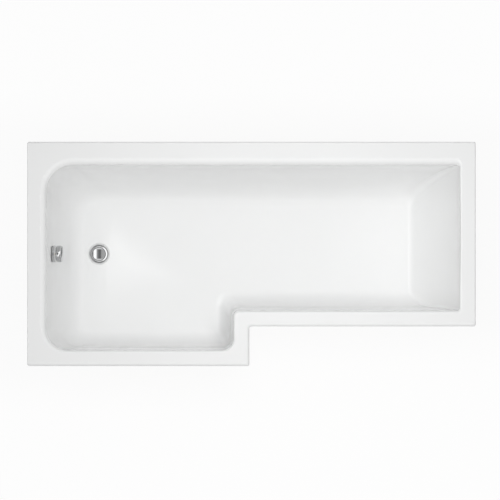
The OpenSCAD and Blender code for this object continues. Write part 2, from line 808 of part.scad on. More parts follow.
plug_z = flange_z + 1;
plug_edge = 2.5;
plug_seal_t = 2.2;
boss_d = 38;
boss_h = 3.5;

module plug() {
    r = plug_d / 2;
    ball_r = (r * r + dome_h * dome_h) / (2 * dome_h);
    color("gainsboro") at_waste(0) difference() {
        union() {
            intersection() {
                translate([0, 0, plug_z + plug_edge + dome_h - ball_r]) sphere(r = ball_r, $fn = 96);
                translate([0, 0, plug_z]) cylinder(r = r, h = plug_edge + dome_h);
            }
            translate([0, 0, plug_z - boss_h]) cylinder(d = boss_d, h = boss_h + plug_edge / 2);
            translate([0, 0, stem_bottom]) cylinder(d = stem_d, h = plug_z - stem_bottom);
        }
        translate([0, 0, stem_bottom - 1]) cylinder(d = pin_d + 2 * stem_fit, h = stem_bore + 1, $fn = 48);
    }
}

module plug_seal() {
    color("black") at_waste(plug_z - plug_seal_t) ring_solid(neck_bore_d + 3, boss_d + 0.1, plug_seal_t);
}

// ================= Overflow =================

front_seal_w = 0.6;
front_seal_t = 1.5;
rose_w = front_seal_w + front_seal_t;
knob_w = rose_w + rose_t + inlet_gap;
// The wall is curved and the pieces on it are flat, so a little air stays between them
wall_air = 0.4;
wall_back_w = -base_layer * (cos(overflow_lean) + sin(overflow_lean)) - wall_air;
elbow_w = wall_back_w - seal_t;
elbow_flange_t = 4;
chamber_end_w = elbow_w - chamber_l;
chamber_mid_w = elbow_w - elbow_flange_t - (chamber_l - elbow_flange_t) / 2;
chamber_bore_d = chamber_d - 2 * moulding_t;
rose_neck_d = chamber_bore_d + 4;
rose_neck_end = elbow_w - 3;
spider_w = rose_w + 2;
spider_t = 5;
spider_arm_w = 4;
rose_chamfer = 2;

module overflow_front_seal() {
    color("black") at_overflow() translate([0, 0, front_seal_w])
        ring_solid(rose_d - 2, overflow_hole_d + 1, front_seal_t);
}

module overflow_back_seal() {
    color("black") at_overflow() translate([0, 0, elbow_w])
        ring_solid(rose_d + 4, overflow_hole_d + 1, seal_t);
}

module overflow_flange() {
    r = rose_d / 2;
    bore_r = rose_neck_d / 2 - 2.5;
    color("gainsboro") at_overflow() {
        rotate_extrude() polygon([
            [bore_r, rose_neck_end], [rose_neck_d / 2, rose_neck_end], [rose_neck_d / 2, rose_w],
            [r, rose_w], [r, rose_w + rose_t - rose_chamfer], [r - rose_chamfer, rose_w + rose_t],
            [bore_r, rose_w + rose_t]
        ]);
        translate([0, 0, spider_w]) difference() {
            union() {
                cylinder(d = spindle_d + 8, h = spider_t);
                for (a = [60, 180, 300]) rotate(a) translate([0, -spider_arm_w / 2, 0])
                    cube([bore_r + 1, spider_arm_w, spider_t]);
            }
            translate([0, 0, -1]) cylinder(d = spindle_d + 2 * spindle_fit, h = spider_t + 2, $fn = 48);
        }
    }
}

spout_l = 22;
spout_socket_l = 16;
chamber_x = overflow_x + chamber_mid_w * cos(overflow_lean);
chamber_z = overflow_z + chamber_mid_w * sin(overflow_lean);
spout_bottom = chamber_z - chamber_d / 2 - spout_l;

module overflow_elbow() {
    color("whitesmoke") difference() {
        union() {
            at_overflow() translate([0, 0, elbow_w - elbow_flange_t])
                cylinder(d = rose_d + 6, h = elbow_flange_t);
            at_overflow() translate([0, 0, chamber_end_w]) cylinder(d = chamber_d, h = chamber_l);
            translate([chamber_x, waste_y, spout_bottom])
                cylinder(d = socket_d, h = chamber_z - spout_bottom);
            translate([chamber_x, waste_y + chamber_d / 2 - gland_root, chamber_z]) rotate([-90, 0, 0])
                cylinder(d = gland_d, h = gland_l + gland_root, $fn = 32);
        }
        at_overflow() translate([0, 0, chamber_end_w + moulding_t])
            cylinder(d = chamber_bore_d, h = chamber_l);
        at_overflow() translate([0, 0, rose_neck_end - 1])
            cylinder(d = rose_neck_d + 2 * neck_fit, h = elbow_w - rose_neck_end + 2);
        translate([chamber_x, waste_y, spout_bottom - 1])
            cylinder(d = pipe_d + 2 * pipe_fit, h = spout_socket_l + 1);
        translate([chamber_x, waste_y, spout_bottom])
            cylinder(d = pipe_d - 2 * pipe_t, h = chamber_z - spout_bottom);
    }
}

knob_step = 1.5;
notch_lip = 2.5;
notch_start = knob_w + knob_base_t;
knob_front = notch_start + knob_t;
notch_end = knob_front - notch_lip;
spindle_in_grip = 5;
spindle_end = chamber_end_w + moulding_t + 1;
spindle_tip = notch_start + spindle_in_grip;
grub_d = 5;
grub_key = 2.8;
grub_w = notch_start + 3.5;
grub_l = knob_d / 2 - notch_depth - spindle_d / 2 - 1;

module overflow_knob() {
    r = knob_d / 2;
    color("gainsboro") at_overflow() difference() {
        rotate_extrude() polygon([
            [0, knob_w], [knob_base_d / 2, knob_w], [knob_base_d / 2, notch_start - knob_step],
            [r, notch_start], [r, knob_front - knob_bevel], [r - knob_bevel, knob_front], [0, knob_front]
        ]);
        translate([0, 0, knob_w - 1]) cylinder(d = spindle_d + 0.1, h = spindle_tip - knob_w + 1, $fn = 48);
        translate([notch_depth - r, 0, 0]) rotate([0, -90, 0]) linear_extrude(notch_depth + 1) polygon([
            [notch_start, -0.4 * notch_w], [notch_end, -0.5 * notch_w],
            [notch_end, 0.5 * notch_w], [notch_start, 0.4 * notch_w]
        ]);
        translate([0, 0, grub_w]) rotate([0, -90, 0]) cylinder(d = grub_d + 0.1, h = r, $fn = 32);
    }
}

module knob_screw() {
    color("dimgray") at_overflow() translate([-spindle_d / 2 - 0.2, 0, grub_w]) rotate([0, -90, 0])
        difference() {
            cylinder(d = grub_d, h = grub_l, $fn = 32);
            translate([0, 0, grub_l - grub_key]) cylinder(d = grub_key, h = 2 * grub_key, $fn = 6);
        }
}

module knob_spindle() {
    crank_d = 30;
    crank_t = 4;
    wire_hole_r = 11;
    wire_hole_d = 3;
    color("goldenrod") at_overflow() {
        translate([0, 0, spindle_end]) cylinder(d = spindle_d, h = spindle_tip - spindle_end, $fn = 48);
        translate([0, 0, chamber_mid_w - crank_t / 2]) difference() {
            cylinder(d = crank_d, h = crank_t);
            translate([0, wire_hole_r, -1]) cylinder(d = wire_hole_d, h = crank_t + 2, $fn = 24);
        }
    }
}

pipe_r = pipe_d / 2;

module overflow_pipe() {
    bore_r = pipe_r - pipe_t;
    bend_z = inlet_z + pipe_bend_r;
    top_z = spout_bottom + spout_socket_l - 1;
    color("whitesmoke") {
        translate([chamber_x, waste_y, bend_z]) difference() {
            cylinder(r = pipe_r, h = top_z - bend_z);
            translate([0, 0, -1]) cylinder(r = bore_r, h = top_z - bend_z + 2);
        }
        translate([chamber_x + pipe_bend_r, waste_y, bend_z]) rotate([-90, 0, 0]) rotate([0, 0, 90])
            rotate_extrude(angle = 90) translate([pipe_bend_r, 0]) difference() {
                circle(r = pipe_r);
                circle(r = bore_r);
            }
        translate([chamber_x + pipe_bend_r, waste_y, inlet_z]) rotate([0, 90, 0]) difference() {
            cylinder(r = pipe_r, h = inlet_stop - chamber_x - pipe_bend_r);
            translate([0, 0, -1]) cylinder(r = bore_r, h = inlet_stop - chamber_x - pipe_bend_r + 2);
        }
    }
}

module pipe_nuts() {
    color("dimgray") {
        translate([chamber_x, waste_y, spout_bottom - pipe_nut_l])
            ring_solid(pipe_nut_d, pipe_d + 2 * pipe_fit, pipe_nut_l);
        translate([inlet_end - pipe_nut_l, waste_y, inlet_z]) rotate([0, 90, 0])
            ring_solid(pipe_nut_d, pipe_d + 2 * pipe_fit, pipe_nut_l);
    }
}

// ================= Control cable =================

cable_start = [chamber_x, waste_y + chamber_d / 2 + gland_l, chamber_z];
cable_end = [waste_x, waste_y + bowl_d / 2 + gland_l, gland_z];
CABLE_ROUTE = [
    cable_start, cable_start + [0, 12, 0], cable_start + [0, 34, -14], cable_start + [0, 44, -60],
    [cable_start[0], cable_end[1] + 36, cable_end[2] + 120],
    [cable_start[0] + 6, cable_end[1] + 36, cable_end[2] + 50],
    [cable_start[0] + 40, cable_end[1] + 36, cable_end[2] + 6],
    cable_end + [-110, 36, -8], cable_end + [-50, 36, -4], cable_end + [-8, 24, 0],
    cable_end + [0, 10, 0], cable_end
];
cable_sides = 8;
cable_cuts = 4;

function spline(p, t) =
    let (n = len(p) - 1, i = min(floor(t), n - 1), u = t - i,
        a = p[max(i - 1, 0)], b = p[i], c = p[i + 1], d = p[min(i + 2, n)])
    0.5 * (2 * b + (c - a) * u + (2 * a - 5 * b + 4 * c - d) * u * u + (3 * b - 3 * c + d - a) * u * u * u);

function unit(v) = v / norm(v);

// Carries a side vector along the route without twist
function carried(dirs, side, i = 0) =
    i == len(dirs) ? [] :
    let (s = unit(side - (side * dirs[i]) * dirs[i])) concat([s], carried(dirs, s, i + 1));

module control_cable() {
    last = (len(CABLE_ROUTE) - 1) * cable_cuts;
    path = [for (k = [0:last]) spline(CABLE_ROUTE, k / cable_cuts)];
    dirs = [for (k = [0:last]) k == 0 ? [0, 1, 0] : k == last ? [0, -1, 0] : unit(path[k + 1] - path[k - 1])];
    sides = carried(dirs, [1, 0, 0]);
    color("black") loft([for (k = [0:last]) let (up = cross(dirs[k], sides[k]))
        [for (j = [0:cable_sides - 1]) let (a = -360 * j / cable_sides)
            path[k] + cable_d / 2 * (cos(a) * sides[k] + sin(a) * up)]]);
}

acrylic_tub();
glassfibre_backing();
baseboard();
batten_back();
batten_waste_end();
batten_head();
batten_shower_front();
batten_step();
batten_front();
cradle(drain_cradle_x);  // cradle_waste
cradle(middle_cradle_x);  // cradle_middle
cradle(head_cradle_x);  // cradle_head
cradle_screws();
rod_nuts();
rod(0);  // rod_waste_front
rod(1);  // rod_waste_back
rod(2);  // rod_middle_front
rod(3);  // rod_middle_back
rod(4);  // rod_head_front
rod(5);  // rod_head_back
foot(0);  // foot_waste_front
foot(1);  // foot_waste_back
foot(2);  // foot_middle_front
foot(3);  // foot_middle_back
foot(4);  // foot_head_front
foot(5);  // foot_head_back
sole(0);  // sole_waste_front
sole(1);  // sole_waste_back
sole(2);  // sole_middle_front
sole(3);  // sole_middle_back
sole(4);  // sole_head_front
sole(5);  // sole_head_back
wall_brackets();
bracket_screws();
waste_flange();
waste_upper_seal();
waste_lower_seal();
waste_body();
plug();
plug_seal();
lifting_pin();
lift_lever();
lever_axle();
overflow_flange();
overflow_front_seal();
overflow_back_seal();
overflow_elbow();
overflow_knob();
knob_spindle();
knob_screw();
overflow_pipe();
pipe_nuts();
control_cable();
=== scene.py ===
"""Dresses the solids of an L-shaped acrylic shower bath and sets up a pale studio round it.

All sizes are in metres. +X points to the head end with the backrest, -X to the waste end, +Y to the wall
side and +Z up.
"""

import json
import math
from typing import NamedTuple

import bmesh
import bpy
from bpy.props import FloatProperty, FloatVectorProperty, IntProperty, PointerProperty
from mathutils import Matrix, Vector, noise


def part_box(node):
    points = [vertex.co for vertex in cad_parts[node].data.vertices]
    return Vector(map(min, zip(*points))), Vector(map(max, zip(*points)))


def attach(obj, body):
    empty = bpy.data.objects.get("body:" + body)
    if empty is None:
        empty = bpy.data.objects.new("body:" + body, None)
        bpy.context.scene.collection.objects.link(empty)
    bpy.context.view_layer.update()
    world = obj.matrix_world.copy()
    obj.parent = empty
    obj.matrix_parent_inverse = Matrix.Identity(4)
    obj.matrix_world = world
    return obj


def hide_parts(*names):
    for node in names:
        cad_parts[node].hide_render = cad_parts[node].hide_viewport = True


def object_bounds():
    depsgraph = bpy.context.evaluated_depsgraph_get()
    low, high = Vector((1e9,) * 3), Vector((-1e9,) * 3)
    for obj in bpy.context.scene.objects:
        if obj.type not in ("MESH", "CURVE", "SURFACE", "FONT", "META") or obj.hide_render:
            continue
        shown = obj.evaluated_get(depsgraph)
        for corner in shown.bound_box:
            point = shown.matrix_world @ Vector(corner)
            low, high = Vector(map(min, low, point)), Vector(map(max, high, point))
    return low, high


bl_info = {
    "name": "Shower Bath",
    "version": (1, 0, 0),
    "blender": (4, 5, 0),
    "location": "View3D > Sidebar > Shower Bath",
    "description": "Dresses the solids of an L-shaped shower bath and sets up its studio",
    "category": "Object",
}

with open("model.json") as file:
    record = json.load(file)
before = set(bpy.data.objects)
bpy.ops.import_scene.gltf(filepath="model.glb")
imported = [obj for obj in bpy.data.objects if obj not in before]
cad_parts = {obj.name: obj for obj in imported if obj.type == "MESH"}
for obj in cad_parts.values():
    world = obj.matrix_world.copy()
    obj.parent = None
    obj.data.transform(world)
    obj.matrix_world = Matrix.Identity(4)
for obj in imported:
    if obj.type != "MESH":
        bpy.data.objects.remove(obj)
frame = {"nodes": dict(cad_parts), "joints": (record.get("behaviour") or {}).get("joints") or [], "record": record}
SOLID_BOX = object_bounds()
LOW, HIGH = SOLID_BOX
BEHAVIOUR = frame["record"]["behaviour"]
BODY_OF = {node: body for body, nodes in BEHAVIOUR["bodies"].items() for node in nodes}
JOINTS = {joint["name"]: joint for joint in frame["joints"]}
LEGS = [body.removeprefix("leg_") for body in BEHAVIOUR["bodies"] if body.startswith("leg_")]


def stood(low, high, z):
    """A place over the middle of a box, at a height."""
    return Matrix.Translation(((low.x + high.x) / 2, (low.y + high.y) / 2, z))


def upright(low, high):
    """The place at the foot of an upright round piece, its radius and its height, from its box."""
    return stood(low, high, low.z), (high.x - low.x) / 2, high.z - low.z


# Axes of the two chrome fittings: local +Z runs up out of the waste, and out of the wall at the overflow
WASTE = stood(*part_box("plug"), 0)
KNOB_AXIS = Vector(JOINTS["knob_turn"]["axis"]).normalized()
KNOB_PLACE = Vector(JOINTS["knob_turn"]["pos_m"])
OVERFLOW_LEAN = math.asin(KNOB_AXIS.z)
OVERFLOW = Matrix.Translation(KNOB_PLACE) @ Matrix.Rotation(math.pi / 2 - OVERFLOW_LEAN, 4, "Y")


# ---------------------------------------------------------------- settings


class TubSettings(bpy.types.PropertyGroup):
    """Sizes and colours of the acrylic tub and its backing"""

    shower_length: FloatProperty(
        name="Shower length", description="Length of the wide end, up to the step",
        default=0.842, min=0.8, max=0.9, unit="LENGTH")
    narrow_width: FloatProperty(
        name="Narrow width", description="Width over the rim at the head end",
        default=0.700, min=0.68, max=0.75, unit="LENGTH")
    depth: FloatProperty(
        name="Depth", description="Depth from the rim to the inside of the floor at the waste",
        default=0.410, min=0.38, max=0.42, unit="LENGTH")
    floor_fall: FloatProperty(
        name="Floor fall", description="Fall of the floor from the foot of the backrest to the waste",
        default=0.008, min=0.0, max=0.012, unit="LENGTH")
    sheet: FloatProperty(
        name="Sheet", description="Thickness of the acrylic sheet",
        default=0.005, min=0.004, max=0.006, unit="LENGTH")
    bond: FloatProperty(
        name="Bond", description="Thickness of the bond between the acrylic and the laminate",
        default=0.0002, min=0.0001, max=0.0005, unit="LENGTH")
    laminate: FloatProperty(
        name="Laminate", description="Thickness of the glass fibre laminate",
        default=0.004, min=0.003, max=0.005, unit="LENGTH")
    skirt: FloatProperty(
        name="Skirt", description="Height of the turned-down edge of the rim",
        default=0.038, min=0.034, max=0.045, unit="LENGTH")
    wall_edge: FloatProperty(
        name="Wall edge", description="Radius of the outer edge on the sides that meet a wall",
        default=0.005, min=0.005, max=0.007, unit="LENGTH")
    open_edge: FloatProperty(
        name="Open edge", description="Radius of the outer edge on the open sides",
        default=0.014, min=0.009, max=0.016, unit="LENGTH")
    outer_corner: FloatProperty(
        name="Outer corner", description="Plan radius of the outer corners",
        default=0.008, min=0.006, max=0.012, unit="LENGTH")
    scoop: FloatProperty(
        name="Backrest scoop", description="How far the backrest is scooped out in its middle",
        default=0.008, min=0.0, max=0.012, unit="LENGTH")
    corner_steps: IntProperty(
        name="Corner steps", description="Facets round each corner",
        default=20, min=6, max=40)
    wall_steps: IntProperty(
        name="Wall steps", description="Facets from the edge of the basin down to its floor",
        default=44, min=10, max=80)
    acrylic: FloatVectorProperty(
        name="Acrylic", description="Colour of the acrylic",
        subtype="COLOR", size=3, default=(0.868, 0.872, 0.870), min=0, max=1)
    resin: FloatVectorProperty(
        name="Resin", description="Colour of the resin in the laminate",
        subtype="COLOR", size=3, default=(0.74, 0.75, 0.64), min=0, max=1)


class FittingSettings(bpy.types.PropertyGroup):
    """Sizes and colours of the waste, the overflow and what joins them"""

    edge: FloatProperty(
        name="Edge", description="Rounding of the edges of the mouldings",
        default=0.0006, min=0.0001, max=0.002, unit="LENGTH")
    chrome: FloatVectorProperty(
        name="Chrome", description="Colour of the chrome",
        subtype="COLOR", size=3, default=(0.57, 0.575, 0.58), min=0, max=1)
    moulding: FloatVectorProperty(
        name="Moulding", description="Colour of the waste and overflow mouldings",
        subtype="COLOR", size=3, default=(0.80, 0.80, 0.77), min=0, max=1)
    nut: FloatVectorProperty(
        name="Nut", description="Colour of the nuts on the overflow pipe",
        subtype="COLOR", size=3, default=(0.045, 0.046, 0.05), min=0, max=1)


class SupportSettings(bpy.types.PropertyGroup):
    """Sizes and colours of the timber, the cradles, the feet and the brackets"""

    thread_pitch: FloatProperty(
        name="Thread pitch", description="Pitch of the thread on the rods",
        default=0.00175, min=0.001, max=0.003, unit="LENGTH")
    thread_depth: FloatProperty(
        name="Thread depth", description="Depth of the thread on the rods",
        default=0.0009, min=0.0003, max=0.0012, unit="LENGTH")
    timber: FloatVectorProperty(
        name="Timber", description="Colour of the battens",
        subtype="COLOR", size=3, default=(0.60, 0.43, 0.25), min=0, max=1)
    board: FloatVectorProperty(
        name="Board", description="Colour of the baseboard",
        subtype="COLOR", size=3, default=(0.47, 0.34, 0.20), min=0, max=1)
    steel: FloatVectorProperty(
        name="Steel", description="Colour of the galvanised steel",
        subtype="COLOR", size=3, default=(0.50, 0.52, 0.53), min=0, max=1)
    foot: FloatVectorProperty(
        name="Foot", description="Colour of the plastic feet",
        subtype="COLOR", size=3, default=(0.03, 0.03, 0.032), min=0, max=1)


class StudioSettings(bpy.types.PropertyGroup):
    """Camera, light and floor"""

    picture_width: FloatProperty(
        name="Picture width", description="Width that the camera sees",
        default=1.896, min=0.5, max=5, unit="LENGTH")
    centre_x: FloatProperty(
        name="Centre X", description="What the middle of the picture shows, along the bath",
        default=-0.0057, min=-1, max=1, unit="LENGTH")
    centre_y: FloatProperty(
        name="Centre Y", description="What the middle of the picture shows, across the bath",
        default=0.0150, min=-1, max=1, unit="LENGTH")
    lamp: FloatProperty(
        name="Lamp", description="Power of the lamp overhead",
        default=33, min=0, max=500, unit="POWER")
    overhead: FloatProperty(
        name="Overhead", description="Light from the large panel overhead",
        default=0.83, min=0, max=10)
    waste_side: FloatProperty(
        name="Waste side", description="Light from the panel above the waste end",
        default=0.42, min=0, max=5)
    wall_side: FloatProperty(
        name="Wall side", description="Light from the panel above the wall side",
        default=0.61, min=0, max=5)
    front_side: FloatProperty(
        name="Front side", description="Light from the panel above the front",
        default=0.34, min=0, max=5)
    low_front: FloatProperty(
        name="Low front", description="Light from the low panel in front",
        default=1.30, min=0, max=5)
    reflected: FloatProperty(
        name="Reflected", description="Strength of what polished surfaces reflect",
        default=1.75, min=0, max=5)
    floor: FloatVectorProperty(
        name="Floor", description="Colour of the studio floor",
        subtype="COLOR", size=3, default=(0.93, 0.93, 0.93), min=0, max=1)


# ---------------------------------------------------------------- finishes

# Tints that darken the resin, the chips and the timber in places
WET_RESIN = (0.86, 0.87, 0.80)
WOOD_DUST = (0.72, 0.70, 0.66)
DARK_FIBRE = (0.78, 0.76, 0.72)
# Colours of the small hardware
ZINC = (0.66, 0.65, 0.60)
BLACK_OXIDE = (0.03, 0.03, 0.032)
BRASS = (0.62, 0.45, 0.17)
DULL_BRASS = (0.55, 0.39, 0.14)
BRIGHT_BRASS = (0.68, 0.51, 0.21)
RUBBER = (0.018, 0.018, 0.019)
BLOOM = (0.040, 0.039, 0.037)
LEVER_ORANGE = (0.55, 0.20, 0.03)
SLEEVE_BLACK = (0.02, 0.02, 0.022)


class Nodes:
    """Short ways to build a node tree."""

    def __init__(self, tree):
        self.tree = tree

    def node(self, kind, links=(), **settings):
        """Adds a node; links pairs its inputs with sockets or values."""
        node = self.tree.nodes.new(kind)
        for key, value in settings.items():
            setattr(node, key, value)
        for key, value in dict(links).items():
            if isinstance(value, bpy.types.NodeSocket):
                self.tree.links.new(value, node.inputs[key])
            else:
                node.inputs[key].default_value = value
        return node

    def math(self, operation, *values):
        """Works on sockets or numbers."""
        return self.node("ShaderNodeMath", enumerate(values), operation=operation).outputs[0]

    def ramp(self, factor, stops):
        """Colours by factor; stops are (position, colour)."""
        node = self.node("ShaderNodeValToRGB", {"Fac": factor})
        elements = node.color_ramp.elements
        while len(elements) < len(stops):
            elements.new(0.5)
        for element, (position, colour) in zip(elements, stops):
            element.position = position
            element.color = (*colour, 1)
        return node.outputs["Color"]

    def greys(self, factor, stops):
        """Greys by factor; stops are (position, level)."""
        return self.ramp(factor, [(position, (level,) * 3) for position, level in stops])

    def scaled(self, factor, low, high, start=0.0, end=1.0):
        """Spreads what runs from start to end over low to high."""
        links = {"Value": factor, "From Min": start, "From Max": end, "To Min": low, "To Max": high}
        return self.node("ShaderNodeMapRange", links).outputs["Result"]

    def mixed(self, factor, a, b, blend="MIX"):
        """Mixes two colours."""
        links = {0: factor, 6: a, 7: b}
        return self.node("ShaderNodeMix", links, data_type="RGBA", blend_type=blend).outputs[2]


class Finish(Nodes):
    """A material, with textures in the part's own coordinates."""

    def __init__(self, name, colour, roughness, metallic=0.0, **sockets):
        self.material = bpy.data.materials.new(name)
        self.material.use_nodes = True
        super().__init__(self.material.node_tree)
        self.surface = self.tree.nodes["Principled BSDF"]
        self.surface.inputs["Base Color"].default_value = (*colour, 1)
        self.surface.inputs["Roughness"].default_value = roughness
        self.surface.inputs["Metallic"].default_value = metallic
        for socket, value in sockets.items():
            self.surface.inputs[socket.replace("_", " ")].default_value = value
        self.coordinates = self.tree.nodes.new("ShaderNodeTexCoord").outputs["Object"]

    def stretched(self, x, y, z, turn=0.0):
        """The part's coordinates, scaled along each axis and turned about Z."""
        links = {"Vector": self.coordinates, "Scale": (x, y, z), "Rotation": (0, 0, turn)}
        return self.node("ShaderNodeMapping", links).outputs["Vector"]

    def noise(self, scale, detail, vector=None, distortion=0.0):
        """Soft noise from 0 to 1; scale is in features a metre."""
        links = {
            "Vector": vector or self.coordinates, "Scale": scale, "Detail": detail, "Distortion": distortion}
        return self.node("ShaderNodeTexNoise", links).outputs["Fac"]

    def cells(self, scale, channel, vector=None):
        """One colour channel of cells, each of one random tone."""
        links = {"Vector": vector or self.coordinates, "Scale": scale}
        colour = self.node("ShaderNodeTexVoronoi", links).outputs["Color"]
        return self.node("ShaderNodeSeparateColor", {"Color": colour}).outputs[channel]

    def set(self, socket, value):
        """Links a socket to one of the surface's own."""
        self.tree.links.new(value, self.surface.inputs[socket])

    def bump(self, height, distance, strength):
        """Adds relief, on top of any that is there already."""
        normal = self.node("ShaderNodeBump", {"Height": height, "Distance": distance, "Strength": strength})
        previous = self.surface.inputs["Normal"].links
        if previous:
            self.tree.links.new(previous[0].from_socket, normal.inputs["Normal"])
        self.set("Normal", normal.outputs["Normal"])

    def mottle(self, scale, detail, dark, light):
        """Lets the colour drift between two tones."""
        self.set("Base Color", self.ramp(self.noise(scale, detail), [(0.3, dark), (0.7, light)]))

    def dull(self, scale, detail, low, high):
        """Lets the roughness drift between two values."""
        self.set("Roughness", self.scaled(self.noise(scale, detail), low, high))

    def grain(self, scale, detail, distance, strength):
        """Adds a fine relief all over."""
        self.bump(self.noise(scale, detail), distance, strength)


def shade(colour, factor):
    """A colour made lighter or darker, kept in range."""
    return tuple(min(1.0, channel * factor) for channel in colour)


def acrylic_finish(colour):
    """Glossy sheet, with the faint ripple that forming leaves."""
    finish = Finish("acrylic_gloss", colour, roughness=0.14, IOR=1.49, Coat_Weight=0.25, Coat_Roughness=0.06)
    finish.mottle(2.5, 2.0, shade(colour, 0.992), shade(colour, 1.006))
    finish.dull(18.0, 4.0, 0.11, 0.17)
    finish.grain(260.0, 1.0, 0.00002, 0.35)
    return finish.material


# Length and width of a glass strand, and the ways that strands lie, as turns about X, Y and Z in radians
STRAND_L = 1 / 22
STRAND_W = 1 / 430
STRAND_TURNS = (
    (0, 0, 0.3), (0, 0, 1.4), (0, 0, 2.4), (0, 0.9, 0.2), (0, 2.2, 0.1), (0, 1.5, 1.2), (0.2, 0.8, 1.5),
    (0.1, 2.3, 1.7))


def glassfibre_finish(colour):
    """Chopped strands that lie every way in resin, rolled out by hand."""
    finish = Finish("glassfibre", colour, roughness=0.42, IOR=1.52, Coat_Weight=0.15)
    strands = None
    for turn in STRAND_TURNS:
        links = {"Vector": finish.coordinates, "Rotation": turn, "Scale": (STRAND_L, STRAND_W, STRAND_W)}
        lie = finish.node("ShaderNodeMapping", links, vector_type="TEXTURE").outputs["Vector"]
        bands = finish.noise(1.0, 1.0, lie, distortion=0.2)
        strands = bands if strands is None else finish.math("MAXIMUM", strands, bands)
    stops = [(0.56, shade(colour, 0.80)), (0.66, colour), (0.78, shade(colour, 1.18))]
    wet = finish.ramp(finish.noise(7.0, 4.0), [(0.35, WET_RESIN), (0.7, (1, 1, 1))])
    finish.set("Base Color", finish.mixed(1.0, finish.ramp(strands, stops), wet, "MULTIPLY"))
    finish.set("Roughness", finish.scaled(strands, 0.28, 0.58, start=0.5, end=0.8))
    finish.bump(strands, 0.0005, 0.7)
    finish.grain(34.0, 3.0, 0.0015, 0.5)
    return finish.material


def chipboard_finish(colour):
    """Pressed chips of many tones, with dust between them."""
    finish = Finish("chipboard", colour, roughness=0.78)
    tone = finish.cells(1.0, "Red", finish.stretched(190, 260, 420))
    dust = finish.cells(1.0, "Green", finish.stretched(620, 480, 900, turn=0.6))
    stops = [(0.05, shade(colour, 0.62)), (0.35, shade(colour, 0.9)), (0.7, shade(colour, 1.12)),
             (0.95, shade(colour, 1.45))]
    speck = finish.ramp(dust, [(0.0, WOOD_DUST), (0.4, (1, 1, 1))])
    finish.set("Base Color", finish.mixed(0.75, finish.ramp(tone, stops), speck, "MULTIPLY"))
    finish.bump(tone, 0.0003, 0.6)
    finish.grain(700.0, 2.0, 0.0002, 0.5)
    return finish.material


def timber_finish(name, colour, grain):
    """Sawn softwood; grain is X or Y."""
    finish = Finish(name, colour, roughness=0.70)

    def along_grain(along, across, up):
        x, y = (along, across) if grain == "X" else (across, along)
        return finish.stretched(x, y, up)

    rings = finish.noise(1.0, 4.0, along_grain(1.3, 24.0, 30.0), distortion=0.9)
    waves = finish.math("SINE", finish.math("MULTIPLY", rings, 26.0))
    stops = [(0.0, shade(colour, 1.18)), (0.55, colour), (0.9, shade(colour, 0.66))]
    bands = finish.ramp(finish.scaled(waves, 0, 1, start=-1, end=1), stops)
    fibres = finish.noise(1.0, 3.0, along_grain(14.0, 900.0, 900.0))
    shading = finish.ramp(fibres, [(0.3, DARK_FIBRE), (0.65, (1, 1, 1))])
    finish.set("Base Color", finish.mixed(0.8, bands, shading, "MULTIPLY"))
    finish.set("Roughness", finish.scaled(waves, 0.62, 0.80, start=-1, end=1))
    finish.bump(fibres, 0.00035, 0.7)
    finish.bump(waves, 0.00012, 0.5)
    return finish.material


def galvanised_finish(colour):
    """Hot-dipped zinc with its spangle."""
    finish = Finish("galvanised_steel", colour, roughness=0.38, metallic=1.0)
    spangle = finish.cells(75.0, "Blue")
    stops = [(0.0, shade(colour, 0.90)), (0.5, colour), (1.0, shade(colour, 1.12))]
    finish.set("Base Color", finish.ramp(spangle, stops))
    finish.set("Roughness", finish.scaled(spangle, 0.32, 0.44))
    finish.grain(520.0, 2.0, 0.00003, 0.4)
    return finish.material


def plated_finish(name="bright_zinc", colour=ZINC):
    """A thin plating, a little clouded."""
    finish = Finish(name, colour, roughness=0.30, metallic=1.0)
    finish.mottle(45.0, 3.0, shade(colour, 0.9), shade(colour, 1.08))
    finish.dull(160.0, 2.0, 0.22, 0.40)
    return finish.material


def chrome_finish(colour):
    """Bright chrome, wiped and not quite even."""
    finish = Finish("chrome", colour, roughness=0.06, metallic=1.0)
    finish.dull(55.0, 3.0, 0.035, 0.085)
    finish.grain(900.0, 1.0, 0.000004, 0.3)
    return finish.material


def brass_finish():
    """Turned brass, with fine marks of the tool round its axis."""
    finish = Finish("turned_brass", BRASS, roughness=0.28, metallic=1.0)
    turning = finish.noise(1.0, 1.0, finish.stretched(60, 60, 2600))
    finish.set("Roughness", finish.scaled(turning, 0.20, 0.42))
    finish.mottle(60.0, 3.0, DULL_BRASS, BRIGHT_BRASS)
    finish.bump(turning, 0.00002, 0.5)
    return finish.material


def moulded_finish(name, colour, roughness):
    """Moulded plastic with a fine eroded grain."""
    finish = Finish(name, colour, roughness, IOR=1.49)
    finish.mottle(22.0, 3.0, shade(colour, 0.93), shade(colour, 1.05))
    finish.dull(90.0, 2.0, roughness - 0.06, roughness + 0.08)
    finish.grain(520.0, 2.0, 0.00006, 0.5)
    return finish.material


def rubber_finish():
    """Black rubber with patches of bloom."""
    finish = Finish("rubber", RUBBER, roughness=0.72)
    bloom = finish.noise(70.0, 4.0)
    finish.set("Base Color", finish.ramp(bloom, [(0.35, RUBBER), (0.75, BLOOM)]))
    finish.set("Roughness", finish.scaled(bloom, 0.62, 0.85))
    finish.grain(800.0, 2.0, 0.00008, 0.6)
    return finish.material


# ---------------------------------------------------------------- mesh helpers

# In degrees: edges flatter than the first are smooth, those sharper than the second get rounded
SMOOTH_BELOW = 35
ROUND_ABOVE = 32
# A node's split vertices are joined within this distance, and its faces within this many degrees
JOIN_BELOW = 1e-6
FLAT_BELOW = 0.4


def smooth(mesh, below=SMOOTH_BELOW):
    """Shades a mesh smooth, except over edges sharper than an angle."""
    mesh.shade_smooth()
    mesh.set_sharp_from_angle(angle=math.radians(below))


